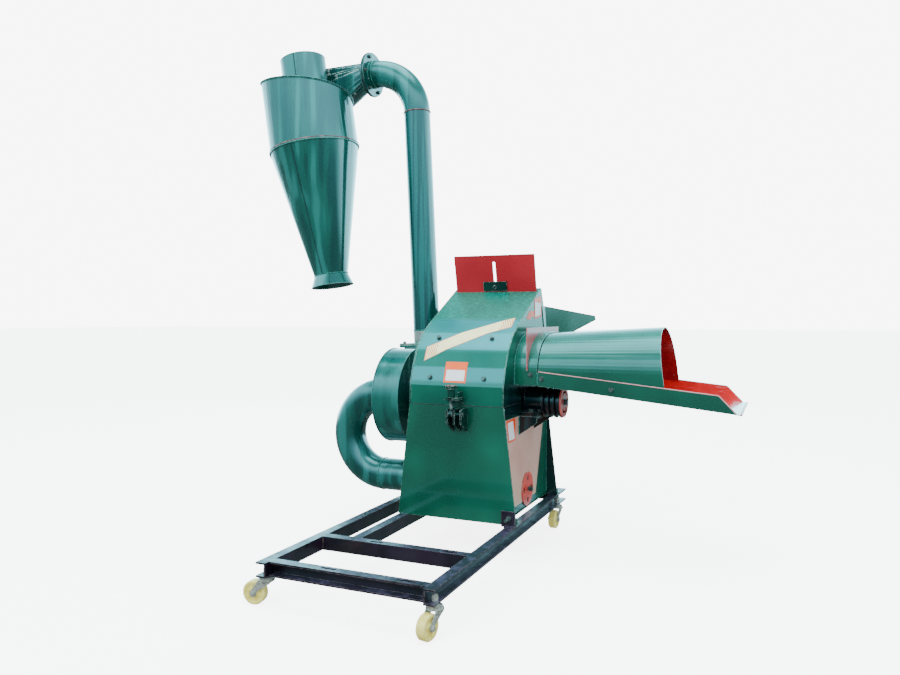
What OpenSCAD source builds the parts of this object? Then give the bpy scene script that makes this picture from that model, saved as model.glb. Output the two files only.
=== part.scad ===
// Hammer mill on a caster frame, with a side feed, a suction fan and a cyclone.
// Lengths are in millimetres. X runs along the rotor shaft towards the side feed,
// Y runs from the motor end to the rear hopper, and Z is up from the floor.
// Every sub-part is drawn about the middle of the mill and then moved by place().

/* [Base frame] */
// Length of the side rails
rail_length = 1445; // [1400:5:1500]
// Outer width of the frame
frame_width = 640; // [640:1:650]
// Height of the channel section
channel_h = 50; // [50:1:52]
// Width of the channel flanges
channel_b = 37; // [36:1:38]
// Height of the underside of the frame
frame_z = 100; // [100:1:101]
// Spacing of the motor slots across the frame
slot_pitch_x = 282; // [260:2:300]
// Spacing of the motor slots along the frame
slot_pitch_y = 310; // [309:1:311]
// Length of one motor slot
slot_length = 56; // [40:1:60]
// Width of one motor slot
slot_width = 12; // [10:0.5:12]

/* [Casters] */
// Diameter of the caster wheels
caster_d = 80; // [76:1:80]
// Width of the caster wheels
caster_w = 30; // [26:1:30]
// Distance from the swivel axis to the axle
caster_trail = 40; // [36:1:42]

/* [Mill body] */
// Height of the rotor shaft and of the split between stand and hood
shaft_z = 600; // [600:1:602]
// Half width of the mill body at the split
body_half = 200; // [198:1:202]
// Half width of the flared end plates at the frame
foot_half = 252; // [248:1:252]
// Half depth of the mill body
body_depth = 285; // [284:1:286]
// Thickness of the stand plates
plate_t = 5; // [4:0.5:6]
// Thickness of the hood sheets
sheet_t = 4; // [3:0.5:4]

/* [Rotor] */
// Number of rotor discs
disc_count = 7; // [5:1:7]
// Radius from the shaft to the hammer pins
pin_circle = 85; // [84:1:86]
// Length of one hammer
hammer_length = 75; // [70:1:76]
// Outer diameter of the belt pulley
pulley_d = 130; // [120:1:132]

/* [Feed] */
// Half width of the side feed throat
throat_half = 214; // [210:1:215]
// Rise of the arch over its springing line
arch_rise = 150; // [145:1:152]
// Slope of the trough in degrees
trough_slope = 6; // [5:0.5:7]
// Travel of the feed gate
gate_travel = 105; // [80:5:105]
// Lean of the feed gate from vertical in degrees
gate_lean = 13; // [12:0.5:14]

/* [Air path] */
// Outer radius of the fan casing
fan_r = 205; // [200:1:206]
// Outer radius of the riser pipe
riser_r = 60; // [58:1:62]
// Lean of the riser from vertical in degrees
riser_lean = 2.75; // [2.5:0.25:3]
// Outer radius of the suction pipe
suction_r = 70; // [66:1:72]
// Radius of the suction pipe's return bend
suction_bend = 180; // [178:1:182]
// Centreline radius of the elbow above the riser
elbow_bend = 213; // [208:1:216]

/* [Cyclone] */
// Outer radius of the barrel
barrel_r = 205; // [200:1:206]
// Outer radius of the exhaust collar
collar_r = 105; // [103:1:106]
// Lean of the cyclone axis from vertical in degrees
cyclone_lean = 8.6; // [8:0.2:9]
// Length of the cone along the axis
cone_length = 593; // [580:1:600]
// Height of the roof over the cone's top edge, at the start of its spiral
roof_start = 420; // [415:1:424]
// Drop of the spiral roof over one turn
roof_drop = 254; // [250:1:256]

/* [Hidden] */

$fn = 64;
eps = 0.5;                // overshoot of a cutting tool
run_gap = 0.05;           // radial gap of a running fit

mill_green = "#0f7a66";
gate_red = "#a8242c";
frame_black = "#1d1b22";
zinc = "#b9bcbd";
steel = "#8c9093";
nylon = "#e6dfa2";
neck_grey = "#9aa3a5";

// frame layout
rail_y0 = -1025;                       // front end of the rails
rail_y1 = rail_y0 + rail_length;
rail_xr = 254;                         // outer edge of the right rail
rail_xl = rail_xr - frame_width;       // outer edge of the left rail
frame_top = frame_z + channel_h;
channel_web = 4.5;
channel_flange = 6;
web_xr = rail_xr - channel_b;          // inner face of the right rail
web_xl = rail_xl + channel_b;          // inner face of the left rail
front_cross_y = -968;                  // inner face of the front cross member's web
middle_cross_y = -690;
bearer_x = -209;                       // web face of the mill bearer
slot_mid_x = 8;
slot_mid_y = -830;

// casters: stem position and heading of the wheel from its stem
stem_r = 6;
axle_r = 5;
fork_top = 86;
caster_r = caster_d / 2;
caster_xr = 239;
caster_xl = -371;
caster_yf = -988;
caster_yr = 320;

// mill body
side_in = body_half - plate_t;         // inner face of the side plates
stand_base = frame_top;
damper_y = 3;
damper_z = 231;
damper_r = 70;
damper_bolt_r = 6;
suction_low_z = 240;
foot_bolt_r = 7;
foot_xr = 235;
foot_xl = -230;

// rotor
shaft_r = 30;
bearing_seat_r = 25;
end_seat_r = 20;
shaft_notch_r = 40;
disc_pitch = 54;
disc_t = 6;
disc_r = 105;
pin_r = 10;
hammer_t = 6;
hammer_half = 20;
hammer_top = 15;                       // hammer above its pin
chamber_r = 158;
pulley_x0 = 281;
pulley_w = 80;
housing_w = 72;
housing_x = 206;                       // inner end of the right housing
housing_r = 58;
bearing_r = 45;
shelf_top = 546;
shelf_w = 77;                          // reach of the bearing shelf from the mill's side

// clamp and hinge
clamp_x = 4;
clamp_y = -335;
clamp_z = 571;
clamp_pin_r = 5;
lug_t = 7;
swing_r = 6;
swing_top = 680;
tab_front = -347;                      // front edge of the tab that the bolt swings into
tab_top = 633.5;
tab_t = 7;
knob_z0 = 636;
knob_h = 46;
grip_t = 14;
hinge_y = 300;
hinge_z = 605;
hinge_pin_r = 6;
knuckle_r = 12;
knuckle_w = 30;

// hood outline in the Y-Z plane, from the front foot over the top to the rear foot
hood_outline = [
    [-body_depth, shaft_z], [body_depth, shaft_z], [272, 911], [198, 1072],
    [-80, 930], [-163, 880], [-225, 815], [-260, 745], [-283, 675]
];
hood_inner = inset(hood_outline, sheet_t);
mouth_z0 = 822;                        // rear grain opening
mouth_z1 = 985;
gate_top = [0, 135, 1215];             // middle of the gate's top edge
gate_half = 188;
gate_t = 4;
gate_length = 292;
gate_bolt_s = 139;                     // distance of the clamp bolt below the gate's top edge
gate_bolt_r = 5;

// side feed
feed_y = 50;
throat_x1 = 294;
throat_z0 = 677;
spring_z = 735;
flange_x = 253;
trough_x0 = 298;
trough_x1 = 965;
trough_tip_x = 1025;
lip_x = 1042;
trough_half = 216;
trough_t = 3;
trough_h = 55;
trough_z = 676;                        // underside of the trough at trough_x0
cover_half = 211;
cover_t = 2.5;
cover_x1 = 752;

// rear hopper tray
hopper_t = 3;
hopper_z0 = 815;
hopper_tip_y = 725;
hopper_tip_z = 930;
hopper_tip_half = 304;

// fan and pipes
fan_x0 = -422;
fan_x1 = -296;
fan_sheet = 3;
outlet_y0 = 100;
outlet_y1 = 225;
fan_flange_z = 806;
pipe_t = 2.5;
suction_out_x = -468;
neck_base = [-335.7, 165, 816];
neck_length = 69;
riser_top = 1073;                      // distance along the riser to the start of the elbow
elbow_sweep = 90 - riser_lean;
duct_flange_r = 100;
duct_flange_t = 8;
elbow_start = neck_base + riser_top * [-sin(riser_lean), 0, cos(riser_lean)];
elbow_end = elbow_start + elbow_bend * [-cos(riser_lean), 0, 1 - sin(riser_lean)];
joint_x = elbow_end[0] - 24;           // plane where the two duct flanges meet

// cyclone
cyclone_base = [-855, 25, 1728];       // centre of the cone's top edge
cyclone_t = 3;
cone_low_r = 78;
spout_r = 98;
spout_length = 53;
collar_top = 432;
turn_steps = 72;
inlet_steps = 24;
inlet_r0 = collar_r + 3;
inlet_r1 = barrel_r;

// origin: middle of the floor area that the whole machine covers
front_heading = 260;                   // heading of the front right wheel from its stem
roof_rim = barrel_r + 4;
roof_left_z = roof_start - roof_drop / 4 + cyclone_t;
far_left = cyclone_base[0] - roof_rim * cos(cyclone_lean) - roof_left_z * sin(cyclone_lean);
near_front = caster_yf + (caster_trail + caster_r) * sin(front_heading)
    + (caster_w / 2 - 4) * cos(front_heading);
centre = [(far_left + lip_x) / 2, (near_front + hopper_tip_y) / 2, 0];

// ---- helpers -------------------------------------------------------------

// Move from mill coordinates to the origin of the part
module place() {
    translate(-centre)
        children();
}

// Outline shrunk inwards by d, for a counter-clockwise outline of straight edges
function unit(v) = v / norm(v);
function edge_normal(a, b) = let(e = unit(b - a)) [-e[1], e[0]];
function inset(p, d) = let(n = len(p)) [
    for (i = [0:n - 1])
        let(n1 = edge_normal(p[(i + n - 1) % n], p[i]), n2 = edge_normal(p[i], p[(i + 1) % n]))
            p[i] + d * (n1 + n2) / (1 + n1 * n2)
];

// Arch outline: half ellipse on straight skirts, about x = 0 with its springing at y = 0
function arch(half, rise, skirt, n = 40) = concat(
    [[half, -skirt]],
    [for (i = [0:n]) [half * cos(180 * i / n), rise * sin(180 * i / n)]],
    [[-half, -skirt]]
);

// Extrude a Y-Z outline along X, or an X-Z outline along Y
module along_x(x0, length) {
    translate([x0, 0, 0])
        rotate([90, 0, 90])
            linear_extrude(length)
                children();
}

module along_y(y0, length) {
    translate([0, y0 + length, 0])
        rotate([90, 0, 0])
            linear_extrude(length)
                children();
}

// Cylinder along X or Y from its start point
module rod_x(p, length, r) {
    translate(p)
        rotate([0, 90, 0])
            cylinder(h = length, r = r);
}

module rod_y(p, length, r) {
    translate(p)
        rotate([-90, 0, 0])
            cylinder(h = length, r = r);
}

module tube(length, r, t) {
    difference() {
        cylinder(h = length, r = r);
        translate([0, 0, -eps])
            cylinder(h = length + 2 * eps, r = r - t);
    }
}

// Hexagonal head or nut along Z, measured across its flats
module hex(flats, h) {
    cylinder(h = h, r = flats / sqrt(3), $fn = 6);
}

// Bolt head with its washer, standing on the surface along Z
module bolt_head(flats) {
    cylinder(h = 2, r = flats * 0.72);
    translate([0, 0, 2])
        hex(flats, flats * 0.6);
}

// Flat sheet of thickness t on a convex polygon of space points, thickened along its normal
function sheet_normal(p) = unit(cross(p[1] - p[0], p[2] - p[0]));
module sheet(p, t) {
    n = len(p);
    lift = t * sheet_normal(p);
    polyhedron(
        points = concat(p, [for (q = p) q + lift]),
        faces = concat(
            [[for (i = [0:n - 1]) i]],
            [[for (i = [0:n - 1]) 2 * n - 1 - i]],
            [for (i = [0:n - 1]) [(i + 1) % n, i, n + i, n + (i + 1) % n]]
        )
    );
}

// Two triangles of a four-sided face
function quad(a, b, c, d) = [[a, b, c], [a, c, d]];

// Closed shell between outer and inner rings at two ends: rings a and b, open at both ends
module shell(outer_a, outer_b, inner_a, inner_b) {
    n = len(outer_a);
    function next(i) = (i + 1) % n;
    polyhedron(
        points = concat(outer_a, outer_b, inner_a, inner_b),
        faces = concat(
            [for (i = [0:n - 1]) each quad(i, next(i), n + next(i), n + i)],
            [for (i = [0:n - 1]) each quad(2 * n + next(i), 2 * n + i, 3 * n + i, 3 * n + next(i))],
            [for (i = [0:n - 1]) each quad(next(i), i, 2 * n + i, 2 * n + next(i))],
            [for (i = [0:n - 1]) each quad(n + i, n + next(i), 3 * n + next(i), 3 * n + i)]
        )
    );
}

// ---- base frame ----------------------------------------------------------

// Channel bar along +Y with its web at x = 0 and its flanges towards +X
module channel(length) {
    difference() {
        cube([channel_b, length, channel_h]);
        translate([channel_web, -eps, channel_flange])
            cube([channel_b, length + 2 * eps, channel_h - 2 * channel_flange]);
    }
}

// Channel bar along +X with its web at y = 0 and its flanges towards -Y
module cross_channel(length) {
    rotate([0, 0, -90])
        channel(length);
}

module side_rails() {
    color(frame_black)
        place()
            difference() {
                union() {
                    translate([web_xr, rail_y0, frame_z])
                        channel(rail_length);
                    translate([web_xl, rail_y0, frame_z])
                        mirror([1, 0, 0])
                            channel(rail_length);
                }
                for (x = [caster_xl, caster_xr], y = [caster_yf, caster_yr])
                    translate([x, y, frame_z - eps])
                        cylinder(h = channel_flange + 2 * eps, r = stem_r + eps);
                for (y = [-258, 306])
                    translate([foot_xr, y, frame_top - channel_flange - eps])
                        cylinder(h = channel_flange + 2 * eps, r = foot_bolt_r + eps);
            }
}

// Slot with round ends, along X
module slot(length, width, depth) {
    run = (length - width) / 2;
    translate([-run, -width / 2, 0])
        cube([2 * run, width, depth]);
    for (x = [-run, run])
        translate([x, 0, 0])
            cylinder(h = depth, r = width / 2);
}

module cross_members() {
    span = web_xr - web_xl;
    color(frame_black)
        place()
            difference() {
                union() {
                    translate([web_xl, front_cross_y, frame_z])
                        cross_channel(span);
                    translate([web_xl, middle_cross_y, frame_z])
                        mirror([0, 1, 0])
                            cross_channel(span);
                    translate([web_xl, rail_y1, frame_z])
                        cross_channel(span);
                }
                for (sx = [-1, 1], sy = [-1, 1])
                    translate([slot_mid_x + sx * slot_pitch_x / 2, slot_mid_y + sy * slot_pitch_y / 2,
                               frame_top - channel_flange - eps])
                        slot(slot_length, slot_width, channel_flange + 2 * eps);
            }
}

module mill_bearer() {
    y0 = middle_cross_y + channel_b;
    color(frame_black)
        place()
            difference() {
                translate([bearer_x, y0, frame_z])
                    mirror([1, 0, 0])
                        channel(rail_y1 - channel_b - y0);
                for (y = [-258, 306])
                    translate([foot_xl, y, frame_top - channel_flange - eps])
                        cylinder(h = channel_flange + 2 * eps, r = foot_bolt_r + eps);
            }
}

// ---- casters -------------------------------------------------------------

// Stem, swivel race and nuts of one caster, fixed to the frame
module caster_stem() {
    translate([0, 0, 80])
        cylinder(h = 46, r = stem_r);
    translate([0, 0, 79])
        cylinder(h = 3.8, r = 9);
    translate([0, 0, fork_top + 0.1])
        cylinder(h = 8, r = 24);
    translate([0, 0, 94])
        hex(24, frame_z - 94);
    translate([0, 0, frame_z + channel_flange])
        hex(19, 10);
    translate([0, 0, frame_z + channel_flange + 10])
        hex(19, 7);
}

module caster_stems() {
    color(zinc)
        place()
            for (x = [caster_xl, caster_xr], y = [caster_yf, caster_yr])
                translate([x, y, 0])
                    caster_stem();
}

// Fork about its stem axis with the wheel trailing along +X, and the axle bolt through it
module caster_fork() {
    leg_in = caster_w / 2 + 1.5;
    leg_t = 3;
    difference() {
        union() {
            translate([0, 0, fork_top - 3])
                cylinder(h = 3, r = 28);
            for (y = [-leg_in - leg_t, leg_in])
                along_y(y, leg_t) {
                    polygon([[-20, fork_top], [20, fork_top], [caster_trail + 12, caster_r + 2],
                             [caster_trail + 9, caster_r - 8], [caster_trail - 9, caster_r - 8],
                             [caster_trail - 14, caster_r + 6], [-20, fork_top - 10]]);
                    translate([caster_trail, caster_r])
                        circle(r = 12);
                }
        }
        translate([0, 0, fork_top - 10])
            cylinder(h = 20, r = stem_r + run_gap);
        rod_y([caster_trail, -40, caster_r], 80, axle_r + run_gap);
    }
    rod_y([caster_trail, -leg_in - leg_t - 9, caster_r], 2 * (leg_in + leg_t) + 16, axle_r);
    for (s = [-1, 1])
        translate([caster_trail, s * (leg_in + leg_t + 0.2), caster_r])
            rotate([-90 * s, 0, 0])
                hex(15, 6);
}

module caster_wheel() {
    half = caster_w / 2;
    translate([caster_trail, 0, caster_r])
        rotate([90, 0, 0])
            rotate_extrude()
                polygon([[axle_r + run_gap, -half], [14, -half], [16, 4 - half], [28, 4 - half],
                         [31, -half], [caster_r - 3, -half], [caster_r, 4 - half], [caster_r, half - 4],
                         [caster_r - 3, half], [31, half], [28, half - 4], [16, half - 4], [14, half],
                         [axle_r + run_gap, half]]);
}

// Place a caster part on its stem, turned to its heading
module at_caster(x, y, heading) {
    place()
        translate([x, y, 0])
            rotate([0, 0, heading])
                children();
}

module front_right_fork() {
    color(zinc)
        at_caster(caster_xr, caster_yf, front_heading)
            caster_fork();
}

module front_left_fork() {
    color(zinc)
        at_caster(caster_xl, caster_yf, 190)
            caster_fork();
}

module rear_right_fork() {
    color(zinc)
        at_caster(caster_xr, caster_yr, 268)
            caster_fork();
}

module rear_left_fork() {
    color(zinc)
        at_caster(caster_xl, caster_yr, 225)
            caster_fork();
}

module front_right_wheel() {
    color(nylon)
        at_caster(caster_xr, caster_yf, front_heading)
            caster_wheel();
}

module front_left_wheel() {
    color(nylon)
        at_caster(caster_xl, caster_yf, 190)
            caster_wheel();
}

module rear_right_wheel() {
    color(nylon)
        at_caster(caster_xr, caster_yr, 268)
            caster_wheel();
}

module rear_left_wheel() {
    color(nylon)
        at_caster(caster_xl, caster_yr, 225)
            caster_wheel();
}

// ---- stand ---------------------------------------------------------------

module end_plate() {
    polygon([[-foot_half, stand_base], [foot_half, stand_base],
             [body_half, shaft_z], [-body_half, shaft_z]]);
}

module stand_end_plates() {
    color(mill_green)
        place()
            for (y = [-body_depth, body_depth - plate_t])
                along_y(y, plate_t)
                    end_plate();
}

module stand_side() {
    translate([0, plate_t - body_depth, stand_base + 2])
        cube([plate_t, 2 * (body_depth - plate_t), shaft_z - stand_base - 2]);
}

module stand_left_plate() {
    color(mill_green)
        place()
            difference() {
                translate([-body_half, 0, 0])
                    stand_side();
                rod_x([-body_half - 10, 0, shaft_z], 30, shaft_notch_r);
                rod_x([-body_half - 10, 0, suction_low_z], 30, suction_r - 3);
            }
}

module stand_right_plate() {
    color(mill_green)
        place()
            difference() {
                translate([side_in, 0, 0])
                    stand_side();
                rod_x([side_in - 10, 0, shaft_z], 30, shaft_notch_r);
                rod_x([side_in - 10, damper_y, damper_z], 30, damper_bolt_r);
                for (a = [0:90:270])
                    translate([0, damper_y, damper_z])
                        rotate([a, 0, 0])
                            damper_hole(side_in - 10, 30);
            }
}

// Round-ended air hole, off the damper's centre along Z
module damper_hole(x, depth) {
    for (z = [44, 48])
        rod_x([x, 0, z], depth, 11);
    translate([x, -11, 44])
        cube([depth, 22, 4]);
}

module stand_floor() {
    color(mill_green)
        place()
            translate([-side_in, plate_t - body_depth, stand_base + 2])
                cube([2 * side_in, 2 * (body_depth - plate_t), 4]);
}

// Half-round screen with hexagonal perforations
module screen() {
    color(steel)
        place()
            difference() {
                rod_half(-side_in + 2, 2 * side_in - 4, chamber_r + 3, chamber_r);
                for (a = [15:15:165], x = [-160:40:160])
                    translate([x, 0, shaft_z])
                        rotate([-a, 0, 0])
                            rotate([-90, 0, 0])
                                translate([0, 0, chamber_r - 10])
                                    cylinder(h = 30, r = 8, $fn = 6);
            }
}

// Lower half of a ring along X
module rod_half(x0, length, r_out, r_in) {
    translate([x0, 0, shaft_z])
        rotate([0, 90, 0])
            rotate([0, 0, -90])
                rotate_extrude(angle = 180)
                    translate([r_in, 0])
                        square([r_out - r_in, length]);
}

module screen_rails() {
    color(steel)
        place() {
            rod_half(-side_in, 14, chamber_r + 9, chamber_r + 3);
            rod_half(side_in - 14, 14, chamber_r + 9, chamber_r + 3);
        }
}

module mounting_feet() {
    color(mill_green)
        place()
            difference() {
                for (x = [foot_xl, foot_xr], y = [[-280, -236], [285, 329]])
                    translate([x - 17, y[0], frame_top])
                        cube([34, y[1] - y[0], 6]);
                for (x = [foot_xl, foot_xr], y = [-258, 306])
                    translate([x, y, frame_top - eps])
                        cylinder(h = 8, r = foot_bolt_r + eps);
            }
}

// Square plate in front of the stand that carries the belt tension screw
module tension_bracket() {
    color(frame_black)
        place()
            difference() {
                union() {
                    translate([199, -308, frame_top])
                        cube([55, 6, 60]);
                    translate([217, -330, frame_top])
                        cube([37, 22, 5]);
                }
                rod_y([230, -312, 183], 14, 6 + run_gap);
            }
}

// Foot bolts, tension screw, bearing bolts, damper bolt and duct flange bolts
module fixed_bolts() {
    color(zinc)
        place() {
            for (x = [foot_xl, foot_xr], y = [-258, 306])
                translate([x, y, frame_top - 22])
                    foot_bolt();
            rod_y([230, -350, 183], 60, 6);
            for (y = [-318, -302])
                translate([230, y, 183])
                    rotate([-90, 0, 0])
                        hex(19, 10);
            for (x = [-housing_x - housing_w / 2, housing_x + housing_w / 2], y = [-78, 78])
                translate([x, y, shelf_top + 16])
                    bolt_head(16);
            rod_x([side_in - 6, damper_y, damper_z], 28, damper_bolt_r);
            translate([213, damper_y, damper_z])
                rotate([0, 90, 0])
                    bolt_head(17);
            for (a = [30:60:330])
                translate([joint_x, elbow_end[1], elbow_end[2]])
                    rotate([a, 0, 0])
                        translate([0, 0, 84])
                            duct_bolt();
            for (x = [-78, 78], y = [-78, 78])
                translate([neck_base[0] + x, neck_base[1] + y, neck_base[2] + duct_flange_t])
                    bolt_head(13);
        }
}

module foot_bolt() {
    cylinder(h = 28, r = foot_bolt_r);
    translate([0, 0, 28])
        bolt_head(22);
    translate([0, 0, 5])
        hex(22, 11);
}

// Heads on both faces of the duct joint
module duct_bolt() {
    for (s = [-1, 1])
        translate([s * duct_flange_t, 0, 0])
            rotate([0, 90 * s, 0])
                bolt_head(13);
}

// Clamp lugs at the front and the lower hinge knuckles with their pins at the rear
module stand_lugs() {
    color(mill_green)
        place() {
            difference() {
                for (x = [clamp_x - 17, clamp_x + 12, clamp_x + 39])
                    along_x(x, lug_t)
                        polygon([[-body_depth, 498], [-body_depth, 592], [clamp_y, 592],
                                 [clamp_y - 10, 586], [clamp_y - 10, 534]]);
                rod_x([clamp_x - 18, clamp_y, clamp_z], 65, clamp_pin_r + run_gap);
            }
            rod_x([clamp_x - 20, clamp_y, clamp_z], 69, clamp_pin_r);
            for (x = [clamp_x - 23, clamp_x + 39 + lug_t])
                translate([x, clamp_y, clamp_z])
                    rotate([0, 90, 0])
                        hex(13, 6);
            for (x = [-150, 90]) {
                difference() {
                    union() {
                        rod_x([x, hinge_y, hinge_z], knuckle_w, knuckle_r);
                        translate([x, body_depth, 555])
                            cube([knuckle_w, 5, 40]);
                        translate([x, body_depth, 590])
                            cube([knuckle_w, 18, 8]);
                    }
                    rod_x([x - 1, hinge_y, hinge_z], knuckle_w + 2, hinge_pin_r);
                }
                rod_x([x - 4, hinge_y, hinge_z], 2 * knuckle_w + 8, hinge_pin_r);
            }
        }
}

// ---- bearings ------------------------------------------------------------

// Right-hand copy of a part, and the same part mirrored to the left
module both_sides() {
    children();
    mirror([1, 0, 0])
        children();
}

module bearing_brackets() {
    color(mill_green)
        place()
            both_sides() {
                translate([body_half, -105, shelf_top - 8])
                    cube([shelf_w, 210, 8]);
                for (y = [-105, 97])
                    along_y(y, 8)
                        polygon([[body_half, shelf_top - 8], [body_half, 470], [body_half + 30, 490],
                                 [body_half + shelf_w - 2, shelf_top - 24],
                                 [body_half + shelf_w - 2, shelf_top - 8]]);
            }
}

module bearing_housings() {
    color(mill_green)
        place()
            both_sides()
                difference() {
                    union() {
                        rod_x([housing_x, 0, shaft_z], housing_w, housing_r);
                        translate([housing_x, -95, shelf_top])
                            cube([housing_w, 190, 16]);
                        translate([housing_x + 8, -50, shelf_top])
                            cube([housing_w - 16, 100, 40]);
                    }
                    rod_x([housing_x - 1, 0, shaft_z], housing_w + 2, bearing_r);
                    translate([housing_x - 5, -150, shelf_top - 40])
                        cube([housing_w + 10, 300, 40]);
                }
}

module ball_bearings() {
    color(steel)
        place()
            both_sides()
                difference() {
                    rod_x([housing_x + 4, 0, shaft_z], housing_w - 8, bearing_r);
                    rod_x([housing_x, 0, shaft_z], housing_w + 2, bearing_seat_r + run_gap);
                }
}

// ---- fan and pipes -------------------------------------------------------

module suction_pipe() {
    low_z = suction_low_z;
    color(mill_green)
        place() {
            rotate_x_tube([suction_out_x, 0, shaft_z], fan_x0 - suction_out_x);
            rotate_x_tube([suction_out_x, 0, low_z], -body_half - suction_out_x);
            translate([suction_out_x, 0, (shaft_z + low_z) / 2])
                rotate([90, 90, 0])
                    mirror([0, 1, 0])
                        rotate_extrude(angle = 180)
                            translate([suction_bend, 0])
                                difference() {
                                    circle(r = suction_r);
                                    circle(r = suction_r - pipe_t);
                                }
        }
}

module rotate_x_tube(p, length) {
    translate(p)
        rotate([0, 90, 0])
            tube(length, suction_r, pipe_t);
}

// Outlet box of the fan, wider at its top
module outlet_box(shrink) {
    polygon([[fan_x0 + shrink, shaft_z], [fan_x1 - shrink, shaft_z], [fan_x1 - shrink, 700],
             [-270 - shrink, fan_flange_z + shrink / 10], [fan_x0 + shrink, fan_flange_z + shrink / 10]]);
}

module fan_casing() {
    width = fan_x1 - fan_x0;
    color(mill_green)
        place()
            difference() {
                union() {
                    rod_x([fan_x0, 0, shaft_z], width, fan_r);
                    along_y(outlet_y0, outlet_y1 - outlet_y0)
                        outlet_box(0);
                    translate([neck_base[0] - 95, neck_base[1] - 95, fan_flange_z])
                        cube([190, 190, neck_base[2] - fan_flange_z]);
                }
                rod_x([fan_x0 + fan_sheet, 0, shaft_z], width - 2 * fan_sheet, fan_r - fan_sheet);
                along_y(outlet_y0 + fan_sheet, outlet_y1 - outlet_y0 - 2 * fan_sheet)
                    outlet_box(fan_sheet);
                translate([neck_base[0], neck_base[1], fan_flange_z - 1])
                    cylinder(h = 20, r = riser_r - 4);
                rod_x([fan_x0 - 1, 0, shaft_z], 6, suction_r - 4);
                rod_x([fan_x1 - 4, 0, shaft_z], 6, shaft_r + 2);
            }
}

// Frame of the leaning riser: its axis is Z
module riser_frame() {
    place()
        translate(neck_base)
            rotate([0, -riser_lean, 0])
                children();
}

module riser_neck() {
    color(neck_grey) {
        place()
            translate([neck_base[0] - 95, neck_base[1] - 95, neck_base[2]])
                difference() {
                    cube([190, 190, duct_flange_t]);
                    translate([95, 95, -1])
                        cylinder(h = duct_flange_t + 2, r = riser_r - 4);
                }
        difference() {
            riser_frame()
                tube(neck_length, riser_r, pipe_t);
            place()
                translate([neck_base[0] - 95, neck_base[1] - 95, neck_base[2] - 40])
                    cube([190, 190, 40 + duct_flange_t]);
        }
    }
}

module riser_pipe() {
    color(mill_green)
        riser_frame()
            translate([0, 0, neck_length])
                tube(riser_top - neck_length, riser_r, pipe_t);
}

module riser_elbow() {
    joint = [joint_x, elbow_end[1], elbow_end[2]];
    color(mill_green) {
        riser_frame()
            translate([-elbow_bend, 0, riser_top])
                rotate([90, 0, 0])
                    rotate_extrude(angle = elbow_sweep)
                        translate([elbow_bend, 0])
                            difference() {
                                circle(r = riser_r);
                                circle(r = riser_r - pipe_t);
                            }
        place()
            difference() {
                union() {
                    rod_x(joint, elbow_end[0] - joint_x - 0.2, riser_r);
                    rod_x(joint, duct_flange_t, duct_flange_r);
                }
                rod_x(joint - [1, 0, 0], elbow_end[0] - joint_x + 2, riser_r - pipe_t);
            }
    }
}

// ---- cyclone -------------------------------------------------------------

// Frame of the leaning cyclone: Z along its axis, zero at the cone's top edge
module cyclone_frame() {
    place()
        translate(cyclone_base)
            rotate([0, -cyclone_lean, 0])
                children();
}

// Height of the spiral roof, by the angle turned from the rear towards the left
function roof_z(turned) = roof_start - roof_drop * turned / 360;
function on_turn(r, turned, z) = [r * cos(90 + turned), r * sin(90 + turned), z];

// Wall of the barrel: one turn that starts high at the rear and ends low beside the inlet
module cyclone_barrel() {
    n = turn_steps;
    r_in = barrel_r - cyclone_t;
    turns = [for (i = [0:n]) 360 * i / n];
    points = concat(
        [for (a = turns) on_turn(barrel_r, a, 0)],
        [for (a = turns) on_turn(barrel_r, a, roof_z(a))],
        [for (a = turns) on_turn(r_in, a, roof_z(a))],
        [for (a = turns) on_turn(r_in, a, 0)]
    );
    color(mill_green)
        cyclone_frame() {
            half_turn(points, n + 1, 0, n / 2);
            half_turn(points, n + 1, n / 2, n);
        }
}

// Stretch of the barrel wall between two steps of its turn
module half_turn(points, m, i0, i1) {
    polyhedron(
        points = points_between(points, m, i0, i1),
        faces = strip_faces(i1 - i0)
    );
}

function points_between(points, m, i0, i1) = [for (k = [0:3], i = [i0:i1]) points[k * m + i]];

// Faces of a strip with four rows of k + 1 points round its section
function strip_faces(k) = concat(
    [for (row = [0:3], i = [0:k - 1])
        let(a = row * (k + 1) + i, b = ((row + 1) % 4) * (k + 1) + i)
            each quad(a, b, b + 1, a + 1)],
    [[3 * (k + 1), 2 * (k + 1), k + 1, 0]],
    [[k, 2 * k + 1, 3 * k + 2, 4 * k + 3]]
);

function reversed(list) = [for (i = [len(list) - 1:-1:0]) list[i]];

// Spiral roof sheet between the collar and the barrel's edge
module cyclone_roof() {
    n = turn_steps;
    turns = [for (i = [0:n]) 360 * i / n];
    r_in = collar_r + 0.3;
    points = concat(
        [for (a = turns) on_turn(r_in, a, roof_z(a) + 0.1)],
        [for (a = turns) on_turn(roof_rim, a, roof_z(a) + 0.1)],
        [for (a = turns) on_turn(roof_rim, a, roof_z(a) + cyclone_t)],
        [for (a = turns) on_turn(r_in, a, roof_z(a) + cyclone_t)]
    );
    color(mill_green)
        cyclone_frame() {
            half_turn(points, n + 1, 0, n / 2);
            half_turn(points, n + 1, n / 2, n);
        }
}

module cyclone_exhaust() {
    low = roof_z(360) - 40;
    color(mill_green)
        cyclone_frame()
            translate([0, 0, low])
                tube(collar_top - low, collar_r, cyclone_t);
}

module cyclone_cone() {
    color(mill_green)
        cyclone_frame()
            rotate_extrude()
                polygon([[barrel_r + 4, 0], [barrel_r + 4, -6], [barrel_r, -6], [cone_low_r, -cone_length],
                         [cone_low_r - cyclone_t, -cone_length], [barrel_r - cyclone_t - 1, -6],
                         [barrel_r - cyclone_t - 1, 0]]);
}

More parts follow.
